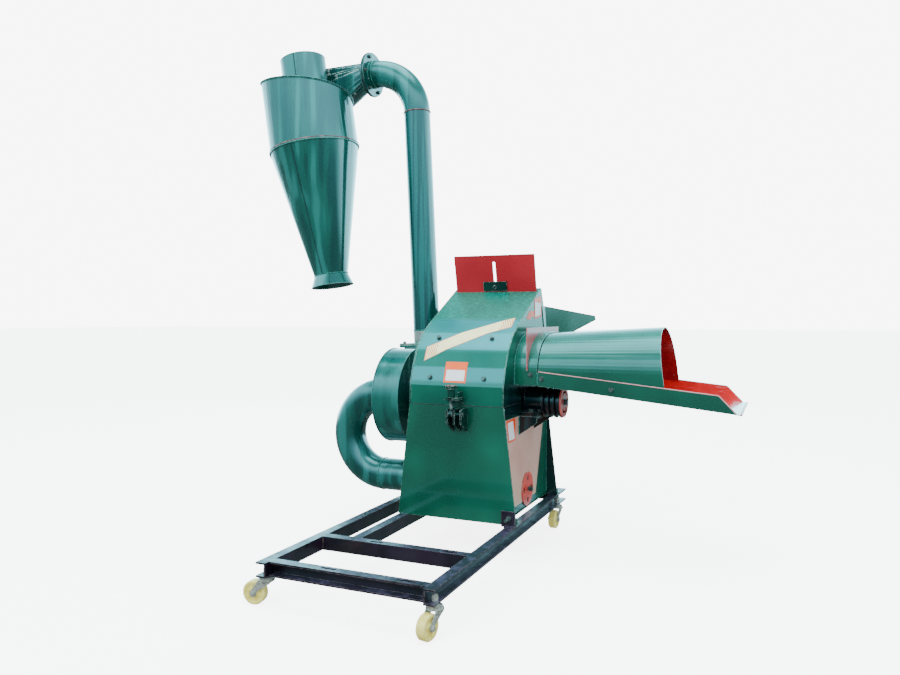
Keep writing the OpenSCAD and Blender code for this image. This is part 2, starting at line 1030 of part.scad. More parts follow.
module cyclone_spout() {
    color(mill_green)
        cyclone_frame()
            translate([0, 0, -cone_length])
                rotate_extrude()
                    polygon([[cone_low_r, 0], [spout_r, -spout_length],
                             [spout_r - cyclone_t, -spout_length], [cone_low_r - cyclone_t, 0]]);
}

// Round end at the duct flange and square end at the roof's step, with matching points
function square_ring(i) =
    let(side = floor(i * 4 / inlet_steps), f = i * 4 / inlet_steps - side)
    side == 0 ? [1 - 2 * f, 1] : side == 1 ? [-1, 1 - 2 * f] : side == 2 ? [2 * f - 1, -1] : [1, 2 * f - 1];
function round_ring(i) = let(a = 45 + 360 * i / inlet_steps) [cos(a), sin(a)];
function lean_point(p) = cyclone_base + [
    p[0] * cos(cyclone_lean) - p[2] * sin(cyclone_lean),
    p[1],
    p[0] * sin(cyclone_lean) + p[2] * cos(cyclone_lean)
];
function inlet_round(r) = [
    for (i = [0:inlet_steps - 1])
        [joint_x - duct_flange_t, elbow_end[1], elbow_end[2]] + r * [0, round_ring(i)[0], round_ring(i)[1]]
];
function inlet_square(t) =
    let(y0 = inlet_r0, y1 = inlet_r1, z0 = roof_z(360) + cyclone_t + 1, z1 = roof_start)
    [for (i = [0:inlet_steps - 1])
        lean_point([0, (y0 + y1) / 2 + ((y1 - y0) / 2 - t) * square_ring(i)[0],
                    (z0 + z1) / 2 + ((z1 - z0) / 2 - t) * square_ring(i)[1]])];

module cyclone_inlet() {
    color(mill_green)
        place() {
            shell(inlet_round(riser_r), inlet_square(0),
                  inlet_round(riser_r - pipe_t), inlet_square(pipe_t));
            difference() {
                rod_x([joint_x - duct_flange_t, elbow_end[1], elbow_end[2]], duct_flange_t, duct_flange_r);
                rod_x([joint_x - 20, elbow_end[1], elbow_end[2]], 40, riser_r - pipe_t);
            }
        }
}

// ---- rotor ---------------------------------------------------------------

module rotor_shaft() {
    color(steel)
        place() {
            rod_x([-190, 0, shaft_z], 380, shaft_r);
            rod_x([-280, 0, shaft_z], 560, bearing_seat_r);
            rod_x([-385, 0, shaft_z], pulley_x0 + pulley_w + 385, end_seat_r);
            translate([pulley_x0 + pulley_w, 0, shaft_z])
                rotate([0, 90, 0])
                    bolt_head(19);
        }
}

function disc_x(i) = (i - (disc_count - 1) / 2) * disc_pitch;

module rotor_discs() {
    color(steel)
        place()
            for (i = [0:disc_count - 1])
                difference() {
                    rod_x([disc_x(i) - disc_t / 2, 0, shaft_z], disc_t, disc_r);
                    rod_x([disc_x(i) - disc_t, 0, shaft_z], 2 * disc_t, shaft_r);
                    for (row = [1:4])
                        rod_x(pin_point(row) + [disc_x(i) - disc_t, 0, 0], 2 * disc_t, pin_r);
                }
}

// Middle of the pin of hammer row 1 to 4
function pin_point(row) = [0, pin_circle * cos(90 * row - 45), shaft_z + pin_circle * sin(90 * row - 45)];

module hammer_pins() {
    end = disc_x(disc_count - 1) + disc_t / 2 + 4;
    color(steel)
        place()
            for (row = [1:4])
                rod_x(pin_point(row) - [end, 0, 0], 2 * end, pin_r);
}

// Side-to-side offset of the hammers in their gaps: neighbouring rows are staggered
function hammer_shift(row) = row % 2 == 0 ? 12 : -12;

module hammer_row(row) {
    color(steel)
        place()
            for (i = [0:disc_count - 2])
                translate(pin_point(row)
                          + [disc_x(i) + disc_pitch / 2 + hammer_shift(row) - hammer_t / 2, 0, 0])
                    difference() {
                        translate([0, -hammer_half, hammer_top - hammer_length])
                            cube([hammer_t, 2 * hammer_half, hammer_length]);
                        rod_x([-1, 0, 0], hammer_t + 2, pin_r + run_gap);
                    }
}

module hammer_row_1() {
    hammer_row(1);
}

module hammer_row_2() {
    hammer_row(2);
}

module hammer_row_3() {
    hammer_row(3);
}

module hammer_row_4() {
    hammer_row(4);
}

module pulley() {
    r = pulley_d / 2;
    groove = 13;
    rim = 6.5;
    pitch = 22.5;
    color(gate_red)
        place()
            difference() {
                translate([pulley_x0, 0, shaft_z])
                    rotate([0, 90, 0])
                        rotate_extrude()
                            polygon(concat(
                                [[end_seat_r, 0], [r, 0]],
                                [for (i = [0:2], p = [[r, rim], [r - groove, rim + 4],
                                                      [r - groove, rim + 12], [r, rim + 16]])
                                    [p[0], p[1] + i * pitch]],
                                [[r, pulley_w - 8], [r - 4, pulley_w], [end_seat_r, pulley_w]]
                            ));
                for (a = [0, 180])
                    for (b = [-40:10:40])
                        translate([0, 0, shaft_z])
                            rotate([a + b, 0, 0])
                                rod_x([pulley_x0 + pulley_w - 12, 0, 41], 14, 5.5);
            }
}

module fan_impeller() {
    color(steel)
        place()
            difference() {
                union() {
                    rod_x([-376, 0, shaft_z], 70, 36);
                    rod_x([-311, 0, shaft_z], 5, 170);
                    for (a = [0:60:300])
                        translate([0, 0, shaft_z])
                            rotate([a, 0, 0])
                                translate([-390, -2, 40])
                                    cube([80, 4, 145]);
                }
                rod_x([-420, 0, shaft_z], 150, end_seat_r);
            }
}

// ---- hood ----------------------------------------------------------------

// Frame of the leaning gate: X across, Z up along the gate from its top edge
module gate_frame() {
    place()
        translate(gate_top)
            rotate([gate_lean, 0, 0])
                children();
}

module hood_wrap() {
    color(mill_green)
        difference() {
            place()
                difference() {
                    along_x(-side_in, 2 * side_in)
                        polygon(hood_outline);
                    along_x(-body_half, 2 * body_half)
                        polygon(concat([[hood_inner[0][0], shaft_z - 5], [hood_inner[1][0], shaft_z - 5]],
                                       [for (i = [2:len(hood_inner) - 1]) hood_inner[i]]));
                    translate([4 - side_in, 215, mouth_z0])
                        cube([2 * side_in - 8, 100, mouth_z1 - mouth_z0]);
                }
            gate_frame()
                translate([-gate_half - 2, -4, -gate_length])
                    cube([2 * gate_half + 4, 8, gate_length]);
        }
}

module throat_outline(grow) {
    translate([feed_y, spring_z])
        polygon(arch(throat_half + grow, arch_rise + grow, spring_z - throat_z0 + grow));
}

module hood_side_plates() {
    color(mill_green)
        place()
            difference() {
                both_sides()
                    along_x(side_in, plate_t)
                        polygon(hood_outline);
                rod_x([-body_half - 1, 0, shaft_z], 2 * body_half + 2, shaft_notch_r);
                along_x(side_in - 1, plate_t + 2)
                    throat_outline(-4);
            }
}

// Toothed breaker plate over the front of the hammer circle
module hood_liner() {
    color(steel)
        place()
            translate([-side_in + 1, 0, shaft_z])
                rotate([0, 90, 0])
                    rotate([0, 0, 183])
                        rotate_extrude(angle = 80)
                            translate([chamber_r, 0])
                                square([8, 2 * side_in - 2]);
}

// Bolt heads on the folded front of the hood, on the hopper and on the feed
module hood_bolts() {
    low_tilt = atan2(23, 70);
    high_tilt = atan2(65, 62);
    color(zinc)
        place() {
            for (x = [-115, 115]) {
                translate([x, -274.1, 705])
                    rotate([90 - low_tilt, 0, 0])
                        bolt_head(14);
                translate([x, -184.6, 858.6])
                    rotate([90 - high_tilt, 0, 0])
                        bolt_head(14);
            }
            for (s = [-1, 1])
                for (x = [[268, 720], [trough_x0 + 14, 705], [584, 672]])
                    translate([x[0], feed_y + s * (x[0] < trough_x0 ? throat_half : trough_half), x[1]])
                        rotate([-90 * s, 0, 0])
                            bolt_head(14);
            for (s = [-1, 1])
                translate([s * (body_half + hopper_t + 0.4), 258, 880])
                    rotate([0, 90 * s, 0])
                        bolt_head(14);
        }
}

// Upper hinge knuckles and the forked clamp lug with its round tab
module hood_lugs() {
    color(mill_green)
        place() {
            for (x = [-150 + knuckle_w + 0.5, 90 + knuckle_w + 0.5])
                difference() {
                    union() {
                        rod_x([x, hinge_y, hinge_z], knuckle_w, knuckle_r);
                        translate([x, body_depth - 1, hinge_z + 4])
                            cube([knuckle_w, 5, 36]);
                        translate([x, body_depth, hinge_z + 2])
                            cube([knuckle_w, 18, 8]);
                    }
                    rod_x([x - 1, hinge_y, hinge_z], knuckle_w + 2, hinge_pin_r + run_gap);
                    translate([x - 1, 200, 590])
                        cube([knuckle_w + 2, body_depth + 0.4 - 200, 100]);
                }
            difference() {
                union() {
                    translate([clamp_x - 25, tab_front, tab_top - tab_t])
                        cube([60, -body_depth - 0.4 - tab_front, tab_t]);
                    along_x(clamp_x - 21, 6)
                        polygon([[-body_depth - 0.4, 606], [-body_depth - 0.4, tab_top - 1],
                                 [tab_front + 4, tab_top - 1], [tab_front + 4, tab_top - tab_t + 1]]);
                    along_x(clamp_x + 22, 6)
                        polygon([[-body_depth - 0.4, 606], [-body_depth - 0.4, 656], [-322, 656],
                                 [tab_front + 4, 641], [tab_front + 4, tab_top - tab_t + 1]]);
                }
                translate([clamp_x - 8, tab_front - 1, 600])
                    cube([16, 27, 80]);
            }
        }
}

// Point at a given y and z on the plane through a, b and c
function wall_point(a, b, c, y, z) =
    let(n = cross(b - a, c - a))
    [a[0] - (n[1] * (y - a[1]) + n[2] * (z - a[2])) / n[0], y, z];

// Open tray behind the hood: sloping floor and two flared side walls
module rear_hopper() {
    root_x = body_half + 0.2;
    low_root = [root_x, body_depth + 1.5, hopper_z0 + 3.5];
    high_root = [root_x, 243, 994];
    high_tip = [hopper_tip_half + 14, 708, 952];
    low_tip = wall_point(low_root, high_root, high_tip, 716, hopper_tip_z + 1);
    floor_y = body_depth + 0.3;
    color(mill_green)
        place() {
            sheet([[-body_half, floor_y, hopper_z0], [body_half, floor_y, hopper_z0],
                   [hopper_tip_half, hopper_tip_y, hopper_tip_z],
                   [-hopper_tip_half, hopper_tip_y, hopper_tip_z]], hopper_t);
            both_sides()
                sheet([low_root, low_tip, high_tip, high_root], hopper_t);
            both_sides()
                sheet([[root_x, low_root[1], low_root[2]], high_root, [root_x, 205, 994],
                       [root_x, 262, hopper_z0 + 8]], hopper_t);
        }
}

module feed_throat() {
    color(mill_green)
        place()
            along_x(body_half, throat_x1 - body_half)
                difference() {
                    throat_outline(0);
                    throat_outline(-4);
                }
}

module feed_flange_plate() {
    half = throat_half + 8;
    color(gate_red)
        place()
            along_x(flange_x, 4)
                difference() {
                    translate([feed_y - half, spring_z])
                        square([2 * half, arch_rise + 18]);
                    throat_outline(0.3);
                }
}

// Arched cover that widens in height from the throat to its mouth
module feed_arch_cover() {
    skirt = 12;
    root = arch(cover_half, arch_rise - 4, skirt);
    mouth = arch(cover_half, arch_rise + 21, 55);
    root_in = arch(cover_half - cover_t, arch_rise - 4 - cover_t, skirt);
    mouth_in = arch(cover_half - cover_t, arch_rise + 21 - cover_t, 55);
    n = len(root);
    points = concat(
        [for (p = root) [trough_x0 + 1, feed_y + p[0], spring_z + p[1]]],
        [for (p = mouth) [cover_x1 - 0.13 * p[1] + 18, feed_y + p[0], spring_z + p[1]]],
        [for (p = mouth_in) [cover_x1 - 0.13 * p[1] + 18, feed_y + p[0], spring_z + p[1]]],
        [for (p = root_in) [trough_x0 + 1, feed_y + p[0], spring_z + p[1]]]
    );
    color(mill_green)
        place()
            polyhedron(points = points, faces = [for (f = strip_faces(n - 1)) reversed(f)]);
}

// Height of the trough's underside at distance x
function trough_low(x) = trough_z - (x - trough_x0) * tan(trough_slope);

module feed_trough() {
    color(mill_green)
        place() {
            for (y = [feed_y - trough_half, feed_y + trough_half - trough_t])
                along_y(y, trough_t)
                    polygon([[trough_x0, trough_low(trough_x0)], [trough_tip_x, trough_low(trough_tip_x)],
                             [trough_x1, trough_low(trough_x1) + trough_h + 4],
                             [trough_x0, trough_low(trough_x0) + trough_h]]);
            along_y(feed_y - trough_half, 2 * trough_half)
                polygon([[trough_x0, trough_low(trough_x0)], [lip_x, trough_low(lip_x)],
                         [lip_x, trough_low(lip_x) + trough_t],
                         [trough_x0, trough_low(trough_x0) + trough_t]]);
        }
}

// Clamp bracket in front of the gate with its bolt, and the guide strips inside the hood
module gate_guides() {
    half = 55;
    color(mill_green)
        gate_frame() {
            translate([-half, -8.5, -gate_bolt_s - 18])
                cube([2 * half, 5, 42]);
            for (s = [-1, 1])
                for (y = [-6.5, 3.5])
                    translate([s > 0 ? gate_half - 12 : -side_in, y, -gate_length + 6])
                        cube([side_in - gate_half + 12, 3, 110]);
            rotate([90, 0, 0])
                translate([0, -gate_bolt_s, -6])
                    cylinder(h = 22, r = gate_bolt_r);
            translate([0, -8.5, -gate_bolt_s])
                rotate([90, 0, 0])
                    bolt_head(13);
        }
}

module feed_gate() {
    slot_end = gate_bolt_s + 6;
    slot_top = gate_bolt_s - gate_travel - 6;
    color(gate_red)
        gate_frame()
            difference() {
                translate([-gate_half, -gate_t / 2, -gate_length])
                    cube([2 * gate_half, gate_t, gate_length]);
                translate([-6, -gate_t, -slot_end])
                    cube([12, 2 * gate_t, slot_end - slot_top]);
            }
}

// ---- clamp and damper ----------------------------------------------------

module swing_bolt() {
    color(zinc)
        place()
            difference() {
                union() {
                    translate([clamp_x, clamp_y, clamp_z])
                        cylinder(h = swing_top - clamp_z, r = swing_r);
                    rod_x([clamp_x - 7, clamp_y, clamp_z], 14, 12);
                }
                rod_x([clamp_x - 20, clamp_y, clamp_z], 40, clamp_pin_r + run_gap);
            }
}

// Tall hub with a scalloped grip round its top
module clamp_knob() {
    color(mill_green)
        place()
            translate([clamp_x, clamp_y, knob_z0])
                difference() {
                    union() {
                        cylinder(h = knob_h - 1, r = 15);
                        translate([0, 0, knob_h - grip_t])
                            cylinder(h = grip_t, r = 21.5);
                        for (a = [10:60:310])
                            rotate([0, 0, a])
                                translate([19, 0, knob_h - grip_t + 1.5])
                                    cylinder(h = grip_t - 3, r = 8);
                    }
                    translate([0, 0, -1])
                        cylinder(h = knob_h + 2, r = swing_r + run_gap);
                }
}

module air_damper() {
    color(gate_red)
        place()
            difference() {
                rod_x([body_half + 1, damper_y, damper_z], 4, damper_r);
                rod_x([body_half - 5, damper_y, damper_z], 20, damper_bolt_r + run_gap);
                for (a = [0:90:270])
                    translate([0, damper_y, damper_z])
                        rotate([a, 0, 0])
                            damper_hole(body_half - 5, 30);
            }
}

side_rails();
cross_members();
mill_bearer();
caster_stems();
stand_end_plates();
stand_left_plate();
stand_right_plate();
stand_floor();
screen();
screen_rails();
mounting_feet();
tension_bracket();
fixed_bolts();
stand_lugs();
bearing_brackets();
bearing_housings();
ball_bearings();
suction_pipe();
fan_casing();
riser_neck();
riser_pipe();
riser_elbow();
cyclone_inlet();
cyclone_barrel();
cyclone_roof();
cyclone_exhaust();
cyclone_cone();
cyclone_spout();
rotor_shaft();
rotor_discs();
hammer_pins();
pulley();
fan_impeller();
hammer_row_1();
hammer_row_2();
hammer_row_3();
hammer_row_4();
hood_wrap();
hood_side_plates();
hood_liner();
hood_bolts();
hood_lugs();
rear_hopper();
feed_throat();
feed_flange_plate();
feed_arch_cover();
feed_trough();
gate_guides();
feed_gate();
swing_bolt();
clamp_knob();
air_damper();
front_right_fork();
front_left_fork();
rear_right_fork();
rear_left_fork();
front_right_wheel();
front_left_wheel();
rear_right_wheel();
rear_left_wheel();
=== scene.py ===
import random
from math import cos, hypot, pi, radians, sin, tan

import bpy
from mathutils import Matrix, Vector

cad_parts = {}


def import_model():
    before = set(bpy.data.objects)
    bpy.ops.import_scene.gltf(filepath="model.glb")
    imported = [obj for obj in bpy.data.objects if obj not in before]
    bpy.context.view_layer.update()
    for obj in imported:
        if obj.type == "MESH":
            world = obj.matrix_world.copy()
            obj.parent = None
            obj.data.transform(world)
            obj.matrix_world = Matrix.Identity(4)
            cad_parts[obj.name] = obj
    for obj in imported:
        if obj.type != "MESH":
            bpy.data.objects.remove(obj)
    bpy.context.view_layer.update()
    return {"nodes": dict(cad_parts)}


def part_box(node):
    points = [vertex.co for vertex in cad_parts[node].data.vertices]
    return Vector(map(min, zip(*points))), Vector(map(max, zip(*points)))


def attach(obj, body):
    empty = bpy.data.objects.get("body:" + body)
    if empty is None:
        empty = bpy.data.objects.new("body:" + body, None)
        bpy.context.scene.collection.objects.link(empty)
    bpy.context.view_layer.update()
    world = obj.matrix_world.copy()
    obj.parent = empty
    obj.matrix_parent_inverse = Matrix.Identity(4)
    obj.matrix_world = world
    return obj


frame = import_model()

MM = 0.001
random.seed(7)


def corners(node):
    """Lower and upper corner of a CAD node's box."""
    return [Vector(corner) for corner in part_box(node)]


# The mill's own axes: X along the shaft, Y towards the rear hopper, zero in mid-stand
STAND_LOW, STAND_HIGH = corners("stand_end_plates")
MILL = Vector(((STAND_LOW.x + STAND_HIGH.x) / 2, (STAND_LOW.y + STAND_HIGH.y) / 2, 0))


def at(x, y, z):
    """Place given in millimetres about the middle of the mill."""
    return MILL + Vector((x, y, z)) * MM


# ---- sizes in millimetres, as in the CAD model ----

BODY_HALF = 200
BODY_DEPTH = 285
STAND_BASE = 150
SHAFT_Z = 600
HOOD_FRONT = [(-285, 600), (-283, 675), (-260, 745), (-225, 815), (-163, 880), (-80, 930),
              (198, 1072)]
HOOD_REAR = [(198, 1072), (272, 911), (285, 600)]
FEED_Y = 50
THROAT_HALF = 214
ARCH_RISE = 150
SPRING_Z = 735
THROAT_Z0 = 677
TROUGH_X0, TROUGH_LIP_X = 298, 1042
TROUGH_HALF, TROUGH_T, TROUGH_Z = 216, 3, 676
TROUGH_SLOPE = radians(6)
FAN_X0, FAN_X1, FAN_R = -422, -296, 205
SUCTION_R, SUCTION_OUT_X, SUCTION_LOW_Z = 70, -468, 240
RISER_R = 60
RISER_LEAN = radians(2.75)
NECK_BASE = Vector((-335.7, 165, 816))
NECK_LENGTH, RISER_TOP, ELBOW_BEND = 69, 1073, 213
CYCLONE_BASE = Vector((-855, 25, 1728))
CYCLONE_LEAN = radians(8.6)
BARREL_R, COLLAR_R, COLLAR_TOP = 205, 105, 432
CONE_LOW_R, CONE_LENGTH, SPOUT_R, SPOUT_LENGTH = 78, 593, 98, 53
ROOF_START, ROOF_DROP = 420, 254
CLAMP_X, CLAMP_Y, CLAMP_Z = 4, -335, 571
GATE_TOP = Vector((0, 135, 1215))
GATE_LEAN = radians(13)
GATE_HALF = 188
CROSS_MEMBER_Y = {"front": -968, "middle": -690, "rear": 420}
CHANNEL_WEB_Z, CHANNEL_WEB_H = 106, 38
WHEEL_WIDTH = 30

# Which way each caster points at rest, in degrees
CASTER_HEADINGS = {"front_right": 260, "front_left": 190, "rear_right": 268, "rear_left": 225}
SIDES = ((1, "right"), (-1, "left"))
FEED_SIDES = ((1, "rear"), (-1, "front"))
X_AXIS = Vector((1, 0, 0))


# ---- shader building ----

class Nodes:
    """A node tree with short calls to add nodes and to fill their inputs."""

    def __init__(self, tree):
        self.tree = tree

    def add(self, kind, **settings):
        node = self.tree.nodes.new(kind)
        for key, value in settings.items():
            setattr(node, key, value)
        return node

    def feed(self, node, inputs):
        """Link the sockets among the inputs, and set the constants."""
        for key, value in inputs.items():
            if isinstance(value, bpy.types.NodeSocket):
                self.tree.links.new(value, node.inputs[key])
            else:
                node.inputs[key].default_value = value
        return node


class Shader(Nodes):
    """A principled material with short calls for the nodes that shape its look."""

    def __init__(self, name, **sockets):
        self.material = bpy.data.materials.new(name)
        self.material.use_nodes = True
        super().__init__(self.material.node_tree)
        self.bsdf = self.tree.nodes["Principled BSDF"]
        self.feed(self.bsdf, {key.replace("_", " "): value for key, value in sockets.items()})
        self.coords = self.add("ShaderNodeTexCoord").outputs["Object"]

    def noise(self, scale, detail=3.0, rough=0.55, stretch=(1, 1, 1)):
        mapping = self.add("ShaderNodeMapping")
        self.feed(mapping, {"Vector": self.coords, "Scale": stretch})
        inputs = {"Vector": mapping.outputs[0], "Scale": scale, "Detail": detail,
                  "Roughness": rough}
        return self.feed(self.add("ShaderNodeTexNoise"), inputs).outputs["Fac"]

    def cells(self, scale):
        node = self.feed(self.add("ShaderNodeTexVoronoi"), {"Vector": self.coords, "Scale": scale})
        return node.outputs["Color"]

    def step(self, value, low, high, to_low=0.0, to_high=1.0):
        """Smooth step of a value from one level to another."""
        node = self.add("ShaderNodeMapRange", interpolation_type="SMOOTHSTEP")
        inputs = {"Value": value, "From Min": low, "From Max": high, "To Min": to_low,
                  "To Max": to_high}
        return self.feed(node, inputs).outputs["Result"]

    def patches(self, *noise, to=(0.0, 1.0)):
        """Soft patches of a noise, from one value to another."""
        return self.step(self.noise(*noise), 0.3, 0.7, *to)

    def math(self, operation, a, b=0.0):
        return self.feed(self.add("ShaderNodeMath", operation=operation), {0: a, 1: b}).outputs[0]

    def times(self, a, b):
        return self.math("MULTIPLY", a, b)

    def mix(self, factor, a, b):
        node = self.add("ShaderNodeMix", data_type="RGBA")
        return self.feed(node, {"Factor": factor, 6: a, 7: b}).outputs[2]

    def axis(self, letter):
        split = self.feed(self.add("ShaderNodeSeparateXYZ"), {0: self.coords})
        return split.outputs[letter]

    def facing(self, letter):
        """One component of the surface normal in the piece's own frame."""
        normal = self.add("ShaderNodeTexCoord").outputs["Normal"]
        return self.feed(self.add("ShaderNodeSeparateXYZ"), {0: normal}).outputs[letter]

    def edges(self, radius):
        """Mask that is 1 along sharp edges, and 0 away from them."""
        bevel = self.feed(self.add("ShaderNodeBevel", samples=3), {"Radius": radius})
        normal = self.add("ShaderNodeNewGeometry").outputs["Normal"]
        dot = self.add("ShaderNodeVectorMath", operation="DOT_PRODUCT")
        self.feed(dot, {0: bevel.outputs[0], 1: normal})
        return self.step(dot.outputs["Value"], 0.995, 0.86)

    def bump(self, height, distance, strength=1.0, under=None):
        inputs = {"Height": height, "Distance": distance, "Strength": strength}
        if under is not None:
            inputs["Normal"] = under
        return self.feed(self.add("ShaderNodeBump"), inputs).outputs[0]

    def finish(self, color, roughness, normal=None, metallic=None):
        """Link what the surface is made of, and hand over the material."""
        made = {"Base Color": color, "Roughness": roughness, "Normal": normal, "Metallic": metallic}
        self.feed(self.bsdf, {key: value for key, value in made.items() if value is not None})
        return self.material


def rgb(red, green, blue):
    """Linear colour of an sRGB value given from 0 to 255."""
    def linear(v):
        v = v / 255
        return v / 12.92 if v <= 0.04045 else ((v + 0.055) / 1.055) ** 2.4
    return (linear(red), linear(green), linear(blue), 1.0)


GREEN = rgb(0, 92, 70)
GREEN_DEEP = rgb(0, 66, 50)
GREEN_PALE = rgb(30, 140, 130)
BAND_SHADE = rgb(0, 44, 44)
# near-black used as painted shade on the stand and hood sides
PAINTED_SHADE = rgb(2, 22, 30)
BARE_EDGE = rgb(176, 190, 186)
RUST = rgb(96, 52, 34)
RED = rgb(170, 36, 46)
RED_DEEP = rgb(150, 24, 34)
PINK = rgb(206, 148, 150)
PINK_DEEP = rgb(184, 120, 124)
PINK_PALE = rgb(230, 192, 194)


# ---- materials ----

def paint_layers(s, main=GREEN, deep=GREEN_DEEP, pale=GREEN_PALE, film=0.55, bands=0.0,
                 band_scale=17.0, wear=0.0022, chips=0.5):
    """Gloss paint on sheet steel: colour, roughness and normal sockets, with a pale painted sky
    reflection and dust on up-facing faces, set by film, and painted light and dark reflection bands
    on rolled sheets.
    """
    cloud = s.step(s.noise(2.6, 2.0), 0.34, 0.68)
    color = s.mix(cloud, deep, main)
    wave = s.noise(4.0, 1.0)
    normal = s.bump(wave, 0.02, 0.10)
    if bands:
        # painted reflection: light and dark bands along the rolled sheet, over a real waviness bump
        stripe = s.noise(band_scale, 1.5, 0.5, (1, 1, 0.02))
        color = s.mix(s.step(stripe, 0.50, 0.62, 0.0, 0.55 * bands), color, pale)
        color = s.mix(s.step(stripe, 0.46, 0.34, 0.0, 0.9 * bands), color, BAND_SHADE)
        normal = s.bump(stripe, 0.34 / band_scale, 0.5 * bands, normal)
    # painted sky reflection: pale tint on up-facing faces, broken into dust patches
    upward_sheen = s.step(s.facing("Z"), 0.15, 0.95, 0.0, 0.35 * film)
    dust_and_sheen = s.patches(9.0, 4.0, 0.6, to=(0.55, 1.0))
    color = s.mix(s.times(upward_sheen, dust_and_sheen), color, pale)
    speck = s.noise(420.0, 2.0)
    color = s.mix(s.step(speck, 0.60, 0.80, 0.0, 0.15), color, pale)
    normal = s.bump(speck, 0.0004, 0.25, normal)
    edge = s.edges(wear)
    broken = s.step(s.noise(60.0, 4.0, 0.7), 0.38, 0.60)
    color = s.mix(s.times(edge, s.times(broken, 0.85)), color, BARE_EDGE)
    chip = s.times(s.step(s.noise(34.0, 5.0, 0.7), 0.66, 0.70), s.edges(wear * 5))
    chip = s.times(chip, chips)
    color = s.mix(chip, color, RUST)
    roughness = s.step(s.noise(3.0, 2.0, 0.5), 0.35, 0.70, 0.17, 0.27)
    roughness = s.math("MAXIMUM", roughness, s.times(chip, 0.8))
    return color, roughness, normal


def gloss(name, **extra):
    settings = {"Coat_Weight": 0.8, "Coat_Roughness": 0.07, "Coat_IOR": 1.6,
                "Specular_IOR_Level": 0.7,
                "Specular_Tint": (0.7, 0.96, 1.0, 1.0)}
    settings.update(extra)
    return Shader(name, **settings)


def green_paint(name, main=GREEN, deep=GREEN_DEEP, pale=GREEN_PALE, coat=0.8, **layers):
    s = gloss(name, Coat_Weight=coat)
    return s.finish(*paint_layers(s, main, deep, pale, **layers))


def hood_paint():
    """Folded hood sheet: a pale blue band painted on its shoulder and low on its front as a sky
    reflection, and dusty on the long slope below the gate.
    """
    s = gloss("hood_paint", Coat_Weight=0.3, Coat_Roughness=0.16,
              Specular_Tint=(0.4, 0.9, 1.0, 1.0))
    color, roughness, normal = paint_layers(s, film=0.3)
    # painted sky reflection: pale blue band on the shoulder, and a weaker one low on the front
    shoulder_sheen = s.times(s.step(s.axis("Z"), 0.800, 0.832), s.step(s.axis("Z"), 0.945, 0.925))
    shoulder_sheen = s.times(shoulder_sheen, s.step(s.noise(3.0, 2.0), 0.30, 0.60, 0.20, 0.45))
    low = s.times(s.step(s.axis("Z"), 0.684, 0.700), s.step(s.axis("Z"), 0.752, 0.742, 0.0, 0.30))
    color = s.mix(s.math("MAXIMUM", shoulder_sheen, low), color, rgb(60, 165, 180))
    slope = s.step(s.axis("Z"), 0.928, 0.940)
    powder = s.step(s.noise(70.0, 5.0, 0.75), 0.44, 0.64, 0.15, 0.80)
    color = s.mix(s.times(slope, powder), color, rgb(0, 132, 112))
    roughness = s.math("ADD", roughness, s.times(slope, 0.2))
    return s.finish(color, roughness, normal)


def dark_paint(name, main, deep):
    """Old greasy paint on the clamp and the bearings; the bearings' near-black colours are painted
    shade.
    """
    s = gloss(name, Coat_Weight=0.3, Specular_IOR_Level=0.4)
    return s.finish(*paint_layers(s, main, deep, rgb(24, 84, 90), film=0.3, chips=0.8))


def panel_paint():
    """Right stand plate: green, with a broad pinkish patch painted as a reflection of the pale
    floor, and painted shade high up under the trough.
    """
    s = gloss("panel_paint", Coat_Weight=0.3, Specular_IOR_Level=0.4)
    color, roughness, normal = paint_layers(s)
    # painted reflection of the pale floor: a broad pinkish patch on the plate's outer face, with a
    # slanted rear edge
    rear = s.times(s.math("SUBTRACT", s.axis("Z"), 0.200), 0.345)
    limit = s.math("ADD", rear, MILL.y + 0.131)
    behind = s.math("SUBTRACT", limit, s.axis("Y"))
    area = s.times(s.step(behind, 0.0, 0.004), s.step(s.axis("Z"), 0.186, 0.190))
    area = s.times(area, s.step(s.axis("Z"), 0.549, 0.543))
    area = s.times(area, s.step(s.facing("X"), 0.5, 0.6))
    # colours of the painted floor reflection, paler and warmer low down, with darker spots
    floor_reflection = s.mix(s.patches(4.0, 2.0), rgb(204, 152, 138), rgb(216, 172, 160))
    low = s.step(s.axis("Z"), 0.34, 0.20, 0.0, 0.6)
    floor_reflection = s.mix(low, floor_reflection, rgb(208, 186, 158))
    stain = s.times(s.step(s.noise(30.0, 5.0, 0.7), 0.68, 0.74), 0.35)
    floor_reflection = s.mix(stain, floor_reflection, rgb(130, 98, 84))
    # painted shade: near-black high on the plate, under the trough
    darkening = s.step(s.axis("Z"), 0.535, 0.565, 0.0, 0.9)
    color = s.mix(darkening, color, PAINTED_SHADE)
    return s.finish(s.mix(area, color, floor_reflection), roughness, normal)


def end_paint():
    """Stand's end plates: green, with painted shade on the rear plate's inner flange."""
    s = gloss("end_paint")
    color, roughness, normal = paint_layers(s)
    # painted shade: near-black on the inner face of the rear plate
    shaded_flange = s.times(s.step(s.facing("Y"), -0.4, -0.6), s.step(s.axis("Y"), MILL.y, MILL.y + 0.1))
    shaded_flange = s.times(shaded_flange, s.step(s.noise(6.0, 3.0), 0.25, 0.55, 0.8, 1.0))
    return s.finish(s.mix(shaded_flange, color, PAINTED_SHADE), roughness, normal)


def side_paint():
    """Hood sides: green, with painted shade low down, beside the bearings."""
    s = gloss("side_paint", Coat_Weight=0.1, Specular_IOR_Level=0.2)
    color, roughness, normal = paint_layers(s)
    # painted shade: darker towards the bottom of the hood sides, beside the bearings
    darkening = s.times(s.step(s.axis("Z"), 0.78, 0.64),
                    s.step(s.noise(9.0, 4.0, 0.6), 0.25, 0.55, 0.6, 0.95))
    return s.finish(s.mix(darkening, color, PAINTED_SHADE), roughness, normal)


